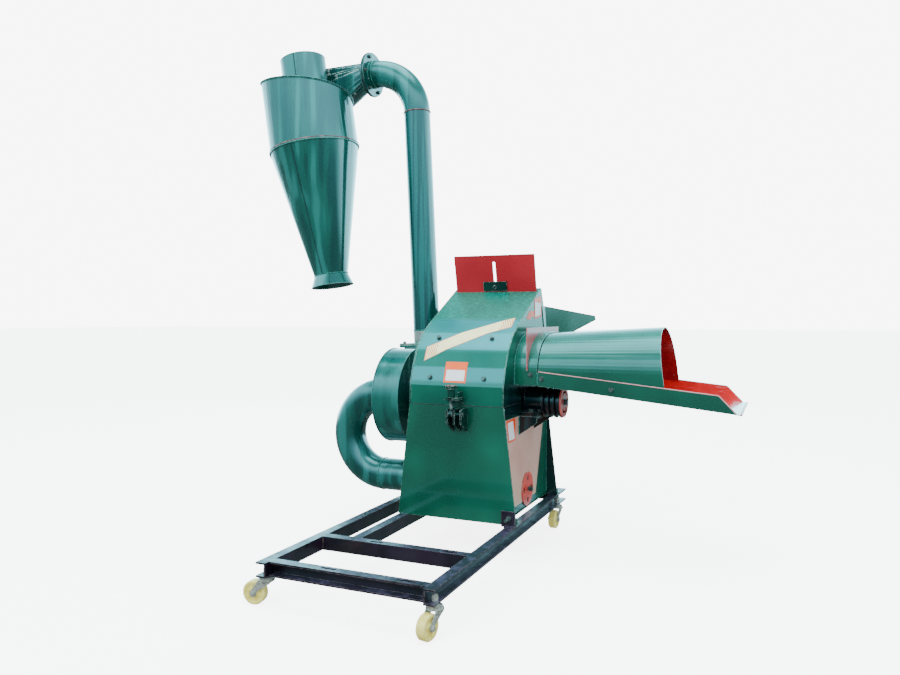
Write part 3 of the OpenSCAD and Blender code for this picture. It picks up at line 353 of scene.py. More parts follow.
def trough_paint():
    """Feed trough: green outside, bright red inside, bare pinkish cut edges and lip."""
    s = gloss("trough_paint")
    color, roughness, normal = paint_layers(s)
    off_centre = s.math("ABSOLUTE", s.math("SUBTRACT", s.axis("Y"), MILL.y + FEED_Y * MM))
    inside = s.step(off_centre, (TROUGH_HALF - 1) * MM, (TROUGH_HALF - 2) * MM)
    inside = s.times(inside, s.step(s.facing("Z"), -0.5, -0.4))
    red = s.mix(s.step(s.noise(8.0, 4.0, 0.65), 0.35, 0.65), rgb(196, 22, 24), rgb(222, 34, 32))
    red = s.mix(s.step(s.noise(70.0, 5.0, 0.7, (0.15, 1, 1)), 0.60, 0.72, 0.0, 0.5), red,
                rgb(230, 150, 150))
    color = s.mix(inside, color, red)
    top = s.times(s.step(s.facing("Z"), 0.80, 0.90),
                 s.step(off_centre, (TROUGH_HALF - TROUGH_T - 0.4) * MM,
                        (TROUGH_HALF - TROUGH_T) * MM))
    lip = s.step(s.axis("X"), MILL.x + 0.985, MILL.x + 1.000)
    lip = s.times(lip, s.step(s.facing("Z"), 0.5, 0.6))
    pink = s.mix(s.step(s.noise(40.0, 4.0, 0.7), 0.35, 0.65), rgb(214, 168, 174),
                 rgb(236, 206, 212))
    return s.finish(s.mix(s.math("MAXIMUM", top, lip), color, pink), roughness, normal)


def cover_paint():
    """Arched feed cover: green outside and dark red inside."""
    s = gloss("cover_paint")
    color, roughness, normal = paint_layers(s, film=0.8)
    centre = (0, MILL.y + FEED_Y * MM, (SPRING_Z - 60) * MM)
    radial = s.add("ShaderNodeVectorMath", operation="SUBTRACT")
    s.feed(radial, {0: s.coords, 1: centre})
    surface = s.add("ShaderNodeTexCoord").outputs["Normal"]
    flat = s.feed(s.add("ShaderNodeVectorMath", operation="MULTIPLY"), {0: surface, 1: (0, 1, 1)})
    outward = s.add("ShaderNodeVectorMath", operation="DOT_PRODUCT")
    s.feed(outward, {0: radial.outputs[0], 1: flat.outputs[0]})
    inner = s.step(outward.outputs["Value"], -0.004, -0.012)
    red = s.mix(s.step(s.noise(12.0, 5.0, 0.7), 0.35, 0.70), rgb(128, 14, 22), rgb(166, 26, 34))
    dusty = s.times(s.step(s.noise(90.0, 4.0, 0.7), 0.60, 0.72), 0.35)
    red = s.mix(dusty, red, rgb(190, 120, 118))
    return s.finish(s.mix(inner, color, red), roughness, normal)


def red_paint(name, main=RED, deep=RED_DEEP, pale=rgb(206, 110, 112), **layers):
    s = gloss(name, Coat_Weight=0.15, Coat_Roughness=0.15, Specular_IOR_Level=0.35,
              Specular_Tint=(1, 1, 1, 1))
    return s.finish(*paint_layers(s, main, deep, pale, **layers))


def pulley_paint():
    """Belt pulley: salmon red end face, near-black grooved body."""
    s = gloss("pulley_paint", Coat_Weight=0.25)
    color = s.mix(s.patches(20.0, 3.0), rgb(8, 7, 12), rgb(24, 18, 28))
    normal = s.bump(s.noise(300.0, 3.0), 0.0004, 0.25)
    roughness = s.patches(30.0, 3.0, to=(0.24, 0.42))
    end_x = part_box("pulley")[1][0]
    face = s.step(s.axis("X"), end_x - 6 * MM, end_x - 5 * MM)
    red = s.mix(s.step(s.noise(26.0, 4.0, 0.6), 0.35, 0.65), rgb(184, 58, 56), rgb(206, 84, 78))
    red = s.mix(s.times(s.edges(0.003), 0.4), red, rgb(228, 160, 152))
    return s.finish(s.mix(face, color, red), roughness, normal)


def frame_paint():
    """Near-black enamel with a blue-violet cast, dust and a painted violet sheen on top, and worn
    flange edges.
    """
    s = gloss("frame_paint", Coat_Weight=0.3, Coat_Roughness=0.18, Specular_IOR_Level=0.4,
              Specular_Tint=(1.0, 0.9, 1.0, 1.0))
    color = s.mix(s.step(s.noise(6.0, 4.0, 0.6), 0.35, 0.65), rgb(16, 9, 20), rgb(34, 20, 36))
    # dust and a painted violet sheen: lighter on up-facing faces
    dust_and_sheen = s.times(s.step(s.facing("Z"), 0.4, 0.95), s.step(s.noise(24.0, 5.0, 0.7), 0.40, 0.72))
    color = s.mix(s.times(dust_and_sheen, 0.45), color, rgb(92, 88, 122))
    edge = s.times(s.edges(0.0025), s.step(s.noise(80.0, 4.0, 0.7), 0.36, 0.60))
    color = s.mix(s.times(edge, 0.7), color, rgb(160, 148, 156))
    rust = s.times(s.step(s.noise(30.0, 6.0, 0.75), 0.66, 0.72), 0.5)
    color = s.mix(rust, color, RUST)
    normal = s.bump(s.noise(220.0, 4.0, 0.65), 0.0006, 0.35)
    return s.finish(color, s.patches(18.0, 4.0, to=(0.26, 0.50)), normal)


def zinc_plate(name="zinc_plate", tint=(200, 198, 190)):
    """Spangled zinc, dull brown where it is stained."""
    s = Shader(name)
    grain = s.step(s.cells(260.0), 0.2, 0.8)
    color = s.mix(grain, rgb(*tint), rgb(*[max(0, v - 40) for v in tint]))
    color = s.mix(s.step(s.noise(60.0, 5.0, 0.7), 0.58, 0.72, 0.0, 0.7), color, rgb(112, 96, 72))
    normal = s.bump(s.noise(500.0, 3.0), 0.0003, 0.3)
    metal = s.step(s.noise(60.0, 5.0, 0.7), 0.58, 0.72, 0.55, 0.20)
    return s.finish(color, s.patches(120.0, 3.0, to=(0.24, 0.46)), normal, metal)


def machined_steel():
    """Bright steel with fine turning marks, and light rust in the hollows."""
    s = Shader("machined_steel")
    marks = s.noise(900.0, 3.0, 0.6, (0.04, 1, 1))
    color = s.mix(s.step(marks, 0.3, 0.7), rgb(150, 150, 152), rgb(96, 96, 100))
    rust = s.step(s.noise(28.0, 6.0, 0.75), 0.54, 0.70, 0.0, 0.75)
    color = s.mix(rust, color, rgb(104, 66, 44))
    normal = s.bump(marks, 0.0002, 0.3)
    metal = s.math("SUBTRACT", 1.0, s.times(rust, 0.9))
    return s.finish(color, s.step(marks, 0.3, 0.7, 0.28, 0.48), normal, metal)


def nylon():
    """Cream-yellow moulded nylon, scuffed dark on its tread."""
    s = Shader("nylon", Subsurface_Weight=0.15, Subsurface_Radius=(0.004, 0.003, 0.0015),
               Coat_Weight=0.1)
    color = s.mix(s.patches(40.0, 3.0), rgb(222, 206, 96), rgb(238, 228, 138))
    darkening = s.step(s.noise(90.0, 6.0, 0.75), 0.60, 0.76, 0.0, 0.6)
    color = s.mix(darkening, color, rgb(128, 110, 60))
    normal = s.bump(s.noise(700.0, 3.0), 0.0003, 0.35)
    return s.finish(color, s.patches(50.0, 4.0, to=(0.30, 0.52)), normal)


def neck_paint():
    """Grey primer on the riser's neck, with green overspray and rust at its foot."""
    s = gloss("neck_primer", Coat_Weight=0.15, Coat_Roughness=0.3)
    color = s.mix(s.patches(14.0, 4.0), rgb(120, 132, 130), rgb(166, 172, 168))
    spray = s.step(s.axis("Z"), (NECK_BASE.z + 4) * MM, (NECK_BASE.z + 40) * MM, 0.85, 0.15)
    spray = s.times(spray, s.step(s.noise(40.0, 5.0, 0.7), 0.30, 0.60, 0.4, 1.0))
    color = s.mix(spray, color, GREEN)
    color = s.mix(s.times(s.edges(0.003), 0.6), color, rgb(196, 200, 196))
    normal = s.bump(s.noise(240.0, 4.0), 0.0006, 0.4)
    return s.finish(color, s.patches(30.0, 4.0, to=(0.34, 0.55)), normal)


def weld_paint():
    """Painted weld metal: darker than the sheets, with rust where the paint missed."""
    s = gloss("weld_paint", Coat_Weight=0.25, Coat_Roughness=0.2)
    color = s.mix(s.patches(90.0, 3.0), rgb(0, 70, 60), rgb(30, 128, 112))
    bare = s.step(s.noise(45.0, 5.0, 0.75), 0.66, 0.74)
    color = s.mix(bare, color, rgb(92, 64, 52))
    color = s.mix(s.step(s.noise(160.0, 3.0), 0.60, 0.72, 0.0, 0.7), color, rgb(190, 206, 202))
    normal = s.bump(s.noise(500.0, 4.0, 0.7), 0.0008, 0.6)
    return s.finish(color, s.patches(70.0, 3.0, to=(0.30, 0.60)), normal)


def rust_ring():
    """Bare weld on the rolled sheets: brown rust with pinkish primer and dark gaps."""
    s = gloss("rust_ring", Coat_Weight=0.1, Specular_IOR_Level=0.3)
    color = s.mix(s.step(s.noise(60.0, 3.0), 0.35, 0.65), rgb(96, 58, 56), rgb(150, 112, 112))
    color = s.mix(s.step(s.noise(22.0, 4.0, 0.7), 0.48, 0.60), color, rgb(20, 36, 38))
    normal = s.bump(s.noise(500.0, 4.0, 0.7), 0.0008, 0.6)
    return s.finish(color, s.patches(70.0, 3.0, to=(0.35, 0.65)), normal)


def dark_rubber():
    s = Shader("dark_rubber")
    color = s.mix(s.patches(60.0, 4.0), rgb(22, 20, 24), rgb(58, 50, 52))
    normal = s.bump(s.noise(600.0, 4.0), 0.0004, 0.5)
    return s.finish(color, s.patches(30.0, 3.0, to=(0.55, 0.8)), normal)


def sticker(name, main, second, hatch_scale=0.0):
    """Printed vinyl film: main colour, worn spots, and hatched ends if asked for."""
    s = Shader(name, Coat_Weight=0.1, Coat_Roughness=0.2, Specular_IOR_Level=0.2)
    color = s.mix(s.step(s.noise(40.0, 3.0), 0.35, 0.7, 0.0, 0.15), main, second)
    if hatch_scale:
        slant = s.math("ADD", s.axis("X"), s.times(s.axis("Z"), 0.8))
        lines = s.math("SINE", s.times(slant, hatch_scale))
        off_middle = s.math("ABSOLUTE", s.math("SUBTRACT", s.axis("X"), MILL.x + 0.010))
        ends = s.step(off_middle, 0.114, 0.118, 0.0, 0.9)
        color = s.mix(s.times(s.step(lines, 0.1, 0.5), ends), color, second)
    color = s.mix(s.step(s.noise(150.0, 5.0, 0.7), 0.68, 0.74, 0.0, 0.4), color, rgb(140, 140, 120))
    normal = s.bump(s.noise(80.0, 2.0), 0.0006, 0.2)
    return s.finish(color, s.patches(60.0, 3.0, to=(0.28, 0.45)), normal)


def brass():
    s = Shader("brass", Metallic=1.0)
    color = s.mix(s.patches(120.0, 4.0), rgb(176, 140, 70), rgb(120, 92, 44))
    return s.finish(color, s.patches(200.0, 3.0, to=(0.25, 0.5)),
                    s.bump(s.noise(600.0, 3.0), 0.0002, 0.4))


def seam_material():
    """Dark oily weld along a lap seam."""
    s = Shader("dark_seam")
    color = s.mix(s.step(s.noise(60.0, 4.0, 0.7), 0.35, 0.65), rgb(4, 20, 24), rgb(14, 50, 46))
    return s.finish(color, s.patches(80.0, 3.0, to=(0.4, 0.7)), s.bump(s.noise(300.0), 0.0005, 0.4))


def frame_weld_material():
    """Black paint over weld metal, with brown rust."""
    s = Shader("frame_weld", Coat_Weight=0.2)
    color = s.mix(s.step(s.noise(90.0, 4.0, 0.7), 0.35, 0.65), rgb(24, 20, 28), rgb(84, 66, 62))
    return s.finish(color, s.patches(80.0, 3.0, to=(0.35, 0.7)),
                    s.bump(s.noise(400.0), 0.0006, 0.5))


FLAT_GREEN = green_paint("mill_green")
HOOD = hood_paint()
HOPPER = green_paint("hopper_green", rgb(0, 84, 56), rgb(0, 66, 44), rgb(20, 120, 96), coat=0.1,
                     film=0.3)
ROLLED_GREEN = green_paint("rolled_green", rgb(0, 82, 72), rgb(0, 62, 56), rgb(44, 132, 128),
                           bands=0.7, film=0.5)
RISER_GREEN = green_paint("riser_green", rgb(0, 66, 60), rgb(0, 48, 46), rgb(8, 96, 94), bands=1.0,
                          band_scale=62.0)
DARK_GREEN = dark_paint("dark_green", rgb(0, 66, 50), rgb(0, 34, 30))
# near-black bearing colours: painted shade under the throat
BEARING_SHADE_GREEN = dark_paint("bearing_shade_green", rgb(2, 34, 38), rgb(3, 12, 18))
PANEL = panel_paint()
SIDE_GREEN = side_paint()
END_GREEN = end_paint()
TROUGH = trough_paint()
COVER = cover_paint()
GATE_RED = red_paint("gate_red", film=0.10)
FADED_RED = red_paint("faded_red", rgb(172, 84, 88), rgb(152, 64, 70), rgb(214, 160, 160), film=0.5)
BARE_PINK = red_paint("bare_pink", PINK, PINK_DEEP, PINK_PALE, film=0.4)
DAMPER_RED = red_paint("damper_red", rgb(224, 84, 76), rgb(208, 68, 60), rgb(236, 136, 126))
PULLEY = pulley_paint()
FRAME_BLACK = frame_paint()
ZINC = zinc_plate()
BOLT_DARK = zinc_plate("painted_bolt", (96, 112, 108))
STEEL = machined_steel()
NYLON = nylon()
NECK = neck_paint()
WELD = weld_paint()
RUST_RING = rust_ring()
RUBBER = dark_rubber()
CREAM = sticker("stripe_film", rgb(255, 246, 188), rgb(206, 120, 84), 620.0)
STRIPE_EDGE = sticker("stripe_edge_film", rgb(232, 150, 120), rgb(214, 110, 84))
ORANGE = sticker("orange_film", rgb(236, 96, 44), rgb(246, 130, 76))
ORANGE_DEEP = sticker("orange_deep_film", rgb(232, 70, 14), rgb(244, 104, 40))
WHITE = sticker("white_film", rgb(226, 228, 236), rgb(196, 200, 216))
BRASS = brass()
DARK_SEAM = seam_material()
FRAME_WELD = frame_weld_material()

LOOKS = {
    FRAME_BLACK: ["side_rails", "cross_members", "mill_bearer", "tension_bracket"],
    ZINC: ["caster_stems"] + [caster + "_fork" for caster in CASTER_HEADINGS],
    NYLON: [caster + "_wheel" for caster in CASTER_HEADINGS],
    END_GREEN: ["stand_end_plates"],
    FLAT_GREEN: ["stand_left_plate", "stand_floor", "mounting_feet", "feed_throat"],
    HOOD: ["hood_wrap"],
    HOPPER: ["rear_hopper"],
    SIDE_GREEN: ["hood_side_plates"],
    DARK_GREEN: ["stand_lugs", "hood_lugs", "swing_bolt", "clamp_knob", "gate_guides"],
    BEARING_SHADE_GREEN: ["bearing_brackets", "bearing_housings"],
    ROLLED_GREEN: ["fan_casing", "suction_pipe", "riser_elbow", "cyclone_inlet", "cyclone_barrel",
                   "cyclone_roof", "cyclone_exhaust", "cyclone_cone", "cyclone_spout"],
    RISER_GREEN: ["riser_pipe"],
    PANEL: ["stand_right_plate"],
    TROUGH: ["feed_trough"],
    COVER: ["feed_arch_cover"],
    GATE_RED: ["feed_gate"],
    FADED_RED: ["feed_flange_plate"],
    DAMPER_RED: ["air_damper"],
    PULLEY: ["pulley"],
    NECK: ["riser_neck"],
    STEEL: ["screen", "screen_rails", "ball_bearings", "rotor_shaft", "rotor_discs", "hammer_pins",
            "fan_impeller", "hammer_row_1", "hammer_row_2", "hammer_row_3", "hammer_row_4",
            "hood_liner"],
    BOLT_DARK: ["fixed_bolts", "hood_bolts"],
}


def dress_nodes():
    for material, names in LOOKS.items():
        for name in names:
            for slot in frame["nodes"][name].material_slots:
                slot.material = material


# ---- piece building ----

def piece(name, shape, material, body="root", smooth=True):
    """A piece that rides a body, from its points in metres and its faces."""
    points, faces = shape
    mesh = bpy.data.meshes.new(name)
    mesh.from_pydata([tuple(p) for p in points], [], faces)
    mesh.update()
    obj = bpy.data.objects.new(name, mesh)
    bpy.context.scene.collection.objects.link(obj)
    mesh.materials.append(material)
    for polygon in mesh.polygons:
        polygon.use_smooth = smooth
    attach(obj, body)
    return obj


def frames_along(points, closed):
    """Point, side and up direction at each point of a path."""
    count = len(points)
    out = []
    side = None
    for i, p in enumerate(points):
        before = points[(i - 1) % count] if closed or i > 0 else p
        after = points[(i + 1) % count] if closed or i < count - 1 else p
        along = (after - before).normalized()
        if side is None:
            side = along.orthogonal().normalized()
        side = (side - along * side.dot(along)).normalized()
        out.append((p, side, along.cross(side)))
    return out


def resample(points, step, closed=False):
    """Points at an even step along a path."""
    path = list(points) + ([points[0]] if closed else [])
    lengths = [0.0]
    for a, b in zip(path[:-1], path[1:]):
        lengths.append(lengths[-1] + (b - a).length)
    count = max(3, round(lengths[-1] / step))
    out = []
    k = 0
    for i in range(count if closed else count + 1):
        d = lengths[-1] * i / count
        while k < len(path) - 2 and lengths[k + 1] < d:
            k += 1
        span = lengths[k + 1] - lengths[k]
        out.append(path[k].lerp(path[k + 1], (d - lengths[k]) / span if span else 0))
    return out


def tube_mesh(points, radii, closed, sides):
    """Round tube along a path, capped at its ends unless it is closed."""
    verts = []
    for (p, side, up), r in zip(frames_along(points, closed), radii):
        for k in range(sides):
            a = 2 * pi * k / sides
            verts.append(p + (side * cos(a) + up * sin(a)) * r)
    rings = len(points)
    faces = []
    for i in range(rings if closed else rings - 1):
        j = (i + 1) % rings
        for k in range(sides):
            m = (k + 1) % sides
            faces.append((i * sides + k, i * sides + m, j * sides + m, j * sides + k))
    if not closed:
        faces.append(tuple(reversed(range(sides))))
        faces.append(tuple(range((rings - 1) * sides, rings * sides)))
    return verts, faces


def bead(name, points, radius=2.2, body="root", closed=False, material=None):
    """Weld bead with overlapping ripples along a path in metres."""
    ripple = 4.5 * MM
    path = resample(points, ripple / 2, closed)
    radii = [radius * MM * (0.86 + 0.16 * (i % 2) + random.uniform(-0.10, 0.10))
             for i in range(len(path))]
    return piece(name, tube_mesh(path, radii, closed, 6), material or WELD, body)


def roll(name, points, radius, body="root", material=None, closed=False):
    """Smooth wired or folded edge along a path in metres."""
    path = resample(points, 8 * MM, closed)
    shape = tube_mesh(path, [radius * MM] * len(path), closed, 10)
    return piece(name, shape, material or FLAT_GREEN, body)


def lathe(profile, place, segments=48):
    """Closed ring turned about Z from a list of (radius, height) in millimetres."""
    count = len(profile)
    verts = []
    faces = []
    for i in range(segments):
        a = 2 * pi * i / segments
        for r, z in profile:
            verts.append(place @ Vector((r * cos(a) * MM, r * sin(a) * MM, z * MM)))
        j = (i + 1) % segments
        for k in range(count):
            m = (k + 1) % count
            faces.append((i * count + k, j * count + k, j * count + m, i * count + m))
    return verts, faces


def along_x_at(x, y, z, turn=1):
    """Frame whose Z points along the mill's X axis."""
    return Matrix.Translation(at(x, y, z)) @ Matrix.Rotation(radians(90 * turn), 4, "Y")


def circle(centre, axis, radius, steps=96):
    """Points of a circle in metres about an axis through a centre in metres."""
    side = axis.orthogonal().normalized()
    up = axis.normalized().cross(side)
    turns = [2 * pi * i / steps for i in range(steps)]
    return [centre + (side * cos(a) + up * sin(a)) * radius * MM for a in turns]


# ---- cyclone and riser ----

def cyclone_point(x, y, z):
    """Place in millimetres in the leaning frame of the cyclone."""
    lean_x = x * cos(CYCLONE_LEAN) - z * sin(CYCLONE_LEAN)
    lean_z = x * sin(CYCLONE_LEAN) + z * cos(CYCLONE_LEAN)
    return at(CYCLONE_BASE.x + lean_x, CYCLONE_BASE.y + y, CYCLONE_BASE.z + lean_z)


def on_turn(radius, turned, z):
    """Point about the cyclone's axis, turned by degrees from its rear."""
    a = radians(90 + turned)
    return cyclone_point(radius * cos(a), radius * sin(a), z)


def roof_z(turned):
    return ROOF_START - ROOF_DROP * turned / 360


def riser_point(side, depth, along):
    """Place in millimetres in the leaning frame of the riser."""
    x = side * cos(RISER_LEAN) - along * sin(RISER_LEAN)
    z = side * sin(RISER_LEAN) + along * cos(RISER_LEAN)
    return at(NECK_BASE.x + x, NECK_BASE.y + depth, NECK_BASE.z + z)


RISER_AXIS = Vector((-sin(RISER_LEAN), 0, cos(RISER_LEAN)))
ELBOW_START = NECK_BASE + RISER_AXIS * RISER_TOP
ELBOW_END = ELBOW_START + ELBOW_BEND * Vector((-cos(RISER_LEAN), 0, 1 - sin(RISER_LEAN)))
JOINT_X = ELBOW_END.x - 24


def cyclone_details():
    turns = [i * 5 for i in range(73)]
    ring = turns[:-1]
    bead("waist_weld_top", [on_turn(BARREL_R + 2.5, a, 1) for a in ring], 3.2, closed=True,
         material=RUST_RING)
    bead("waist_weld_low", [on_turn(BARREL_R + 2.0, a, -7) for a in ring], 2.4, closed=True)
    roll("roof_rim_roll", [on_turn(BARREL_R + 3.5, a, roof_z(a) + 1.6) for a in turns], 2.6,
         material=ROLLED_GREEN)
    bead("roof_weld", [on_turn(BARREL_R + 1, a, roof_z(a) - 2.5) for a in turns], 2.2)
    bead("collar_weld", [on_turn(COLLAR_R + 1, a, roof_z(a) + 4) for a in turns], 2.8)
    roll("collar_rim_roll", [on_turn(COLLAR_R - 1, a, COLLAR_TOP - 0.5) for a in ring], 2.0,
         material=ROLLED_GREEN,
         closed=True)
    bead("spout_weld", [on_turn(CONE_LOW_R + 0.8, a, -CONE_LENGTH) for a in ring], 2.2, closed=True)
    roll("spout_rim_roll",
         [on_turn(SPOUT_R - 0.8, a, -CONE_LENGTH - SPOUT_LENGTH + 1) for a in ring], 1.8,
         material=ROLLED_GREEN, closed=True)
    lap_seam("cone_seam", 182, [(BARREL_R, -10), (CONE_LOW_R, -CONE_LENGTH + 2)])
    lap_seam("spout_seam", 205,
             [(CONE_LOW_R, -CONE_LENGTH - 2), (SPOUT_R, -CONE_LENGTH - SPOUT_LENGTH + 3)])
    lap_seam("exhaust_seam", 190, [(COLLAR_R, COLLAR_TOP - 3), (COLLAR_R, roof_z(190) + 8)])


def lap_seam(name, turned, ends):
    """Dark weld of the lap where a rolled sheet closes on itself."""
    bead(name, [on_turn(r, turned, z) for r, z in ends], 2.3, material=DARK_SEAM)


def riser_details():
    for name, along, radius, size, material in (
            ("neck_weld", NECK_LENGTH, RISER_R + 0.6, 2.6, None),
            ("neck_foot_weld", 9.5, RISER_R + 1, 3.0, None),
            ("elbow_weld", RISER_TOP, RISER_R + 0.6, 3.2, RUST_RING)):
        ring = circle(riser_point(0, 0, along), RISER_AXIS, radius)
        bead(name, ring, size, closed=True, material=material)
    for name, x, size in (("elbow_collar_weld", ELBOW_END.x, 2.6),
                          ("duct_flange_weld", JOINT_X + 9, 3.0),
                          ("inlet_flange_weld", JOINT_X - 9, 3.0)):
        ring = circle(at(x, ELBOW_END.y, ELBOW_END.z), X_AXIS, RISER_R + 0.8)
        bead(name, ring, size, closed=True)
    gasket = [(RISER_R, -1.6), (101.2, -1.6), (102.0, 0), (101.2, 1.6), (RISER_R, 1.6)]
    shape = lathe(gasket, along_x_at(JOINT_X, ELBOW_END.y, ELBOW_END.z), 72)
    piece("duct_gasket", shape, RUBBER, "root")
    elbow_wrinkles()


def elbow_wrinkles():
    """Short creases pressed into the inner side of the elbow as it was bent."""
    pivot = ELBOW_START - Vector((cos(RISER_LEAN), 0, sin(RISER_LEAN))) * ELBOW_BEND
    for k in range(9):
        bend = radians(16 + 6.5 * k) + RISER_LEAN
        outward = Vector((cos(bend), 0, sin(bend)))
        path = []
        for i in range(13):
            a = radians(-62 + 124 * i / 12)
            p = pivot + outward * (ELBOW_BEND - (RISER_R - 0.6) * cos(a))
            p = p + Vector((0, (RISER_R - 0.6) * sin(a), 0))
            path.append(at(*p))
        radii = [3.4 * MM * sin(pi * (i + 0.6) / 13.2) for i in range(13)]
        shape = tube_mesh(path, radii, False, 8)
        piece("elbow_crease_%d" % (k + 1), shape, ROLLED_GREEN)


# ---- fan and suction pipe ----

def fan_details():
    for name, x in (("fan_rim_outer", FAN_X0 + 2), ("fan_rim_inner", FAN_X1 - 2)):
        ring = circle(at(x, 0, SHAFT_Z), X_AXIS, FAN_R + 0.5, 160)
        roll(name, ring, 2.6, material=ROLLED_GREEN, closed=True)
    for name, x, z, size in (("suction_fan_weld", FAN_X0 - 1.5, SHAFT_Z, 3.2),
                             ("suction_upper_weld", SUCTION_OUT_X, SHAFT_Z, 2.2),
                             ("suction_lower_weld", SUCTION_OUT_X, SUCTION_LOW_Z, 2.2),
                             ("suction_stand_weld", -BODY_HALF - 2, SUCTION_LOW_Z, 3.2)):
        bead(name, circle(at(x, 0, z), X_AXIS, SUCTION_R + 0.6), size, closed=True)
    band = [(SUCTION_R - 0.5, -9), (SUCTION_R + 3, -9), (SUCTION_R + 7, -7.5),
            (SUCTION_R + 7, -5.5),
            (SUCTION_R + 3.5, -4.5), (SUCTION_R + 3.5, 4.5), (SUCTION_R + 7, 5.5),
            (SUCTION_R + 7, 7.5),
            (SUCTION_R + 3, 9), (SUCTION_R - 0.5, 9)]
    shape = lathe(band, along_x_at(-238, 0, SUCTION_LOW_Z), 72)
    piece("suction_collar", shape, FLAT_GREEN)


# ---- stand, hood and feed ----

def stand_details():
    """Corner and bracket welds, split packing, bearing covers and grease nipples."""
    for sx, side in SIDES:
        x = sx * (BODY_HALF + 0.8)
        for sy, end in ((-1, "front"), (1, "rear")):
            y = sy * (BODY_DEPTH - 6)
            path = [at(x, y, STAND_BASE + 12), at(x, y, SHAFT_Z - 8)]
            bead("stand_%s_%s_weld" % (end, side), path, 2.6)
        x = sx * (BODY_HALF + 1)
        for y, end in ((-105, "front"), (105, "rear")):
            bead("bracket_%s_%s_weld" % (end, side), [at(x, y, 472), at(x, y, 545)], 3.0)
    inner = BODY_HALF - 5
    gasket_strip("split_gasket_front", [(-BODY_HALF, -BODY_DEPTH), (BODY_HALF, -BODY_DEPTH),
                                        (BODY_HALF, -62), (inner, -62)])
    gasket_strip("split_gasket_rear", [(inner, 62), (BODY_HALF, 62), (BODY_HALF, BODY_DEPTH),
                                       (-BODY_HALF, BODY_DEPTH), (-BODY_HALF, 62), (-inner, 62)])
    cap = [(27, 0.4), (50, 0.4), (51.5, 1.2), (50, 2.4), (40, 2.4), (38, 1.6), (27, 1.6)]
    nipple = [(0.4, -2), (5, -2), (5, 5), (3, 6), (3, 9), (4, 11), (3.4, 14), (1.8, 16), (0.4, 16)]
    for sx, side in SIDES:
        shape = lathe(cap, along_x_at(sx * 278, 0, SHAFT_Z, sx))
        piece("bearing_cover_" + side, shape, BEARING_SHADE_GREEN)
        shape = lathe(nipple, Matrix.Translation(at(sx * 242, 0, SHAFT_Z + 58)), 16)
        piece("grease_nipple_" + side, shape, BRASS, "root")


def gasket_strip(name, outline):
    """Thin dark packing that shows as a line in the joint between stand and hood."""
    path = resample([at(x, y, SHAFT_Z) for x, y in outline], 12 * MM)
    shape = tube_mesh(path, [1.1 * MM] * len(path), False, 8)
    piece(name, shape, RUBBER, "root")


def hood_details():
    """Rolled edges of the hood, and the welds and edges of its feed and gate."""
    outline = HOOD_FRONT[1:] + HOOD_REAR[1:-1]
    outline = [(-BODY_DEPTH, SHAFT_Z + 3)] + outline + [(BODY_DEPTH, SHAFT_Z + 3)]
    for sx, side in SIDES:
        edge = [at(sx * (BODY_HALF - 1.2), y, z) for y, z in outline]
        roll("hood_edge_" + side, edge, 1.8, "hood")
    throat = throat_path(THROAT_HALF + 0.5, ARCH_RISE + 0.5, BODY_HALF + 1.5)
    bead("throat_weld", throat, 3.0, "hood")
    roll("throat_lip", throat_path(THROAT_HALF - 2, ARCH_RISE - 2, 293.5), 2.2, "hood")
    for side, x0, x1 in (("left", -GATE_HALF, -60), ("right", 60, GATE_HALF)):
        bead("gate_weld_" + side, [at(x0, 92, 1017.5), at(x1, 92, 1017.5)], 2.0, "hood")
    for sy, side in FEED_SIDES:
        y = FEED_Y + sy * TROUGH_HALF
        path = [at(TROUGH_X0 - 1.5, y, TROUGH_Z + high) for high in (2, 50)]
        bead("trough_root_weld_" + side, path, 2.6, "hood")
    for sy, side in FEED_SIDES:
        y = FEED_Y + sy * (TROUGH_HALF - 1.5)
        rim = [at(x, y, trough_z(x) + high)
               for x, high in ((TROUGH_X0 + 2, 55.3), (965, 59.0), (1024, 3.5))]
        roll("trough_edge_" + side, rim, 2.1, "hood", BARE_PINK)
    lip_z = trough_z(TROUGH_LIP_X) + 2.2
    curl = [at(TROUGH_LIP_X - 1.5, FEED_Y + sy * (TROUGH_HALF - 1), lip_z) for sy in (-1, 1)]
    roll("trough_lip_curl", curl, 4.0, "hood", BARE_PINK)


def trough_z(x):
    """Height of the trough's floor, which slopes down to its lip."""
    return TROUGH_Z - (x - TROUGH_X0) * tan(TROUGH_SLOPE)


def throat_path(half, rise, x):
    """Arched outline of the feed opening at a distance along the shaft."""
    points = [at(x, FEED_Y + half, THROAT_Z0)]
    for i in range(41):
        a = pi * i / 40
        points.append(at(x, FEED_Y + half * cos(a), SPRING_Z + rise * sin(a)))
    points.append(at(x, FEED_Y - half, THROAT_Z0))
    return points


def gate_details():
    """Folded hem on the gate's top edge."""
    drop = 0.5
    y = GATE_TOP.y + drop * sin(GATE_LEAN)
    z = GATE_TOP.z - drop * cos(GATE_LEAN)
    hem = [at(GATE_TOP.x + sx * (GATE_HALF - 1), y, z) for sx in (-1, 1)]
    roll("gate_hem", hem, 2.9, "gate", GATE_RED)


def hopper_details():
    """Folded hem on the hopper's tip."""
    low, high = corners("rear_hopper")
    y, z = high.y - 2 * MM, at(0, 0, 932).z
    tip = [Vector((x, y, z)) for x in (low.x + 18 * MM, high.x - 18 * MM)]
    roll("hopper_tip_hem", tip, 2.8, "hood")


# ---- stickers ----

def front_surface():
    """Cumulative lengths of the folded front, from its lower edge up."""
    lengths = [0.0]
    for (y0, z0), (y1, z1) in zip(HOOD_FRONT[:-1], HOOD_FRONT[1:]):
        lengths.append(lengths[-1] + hypot(y1 - y0, z1 - z0))
    return lengths


FRONT_LENGTHS = front_surface()


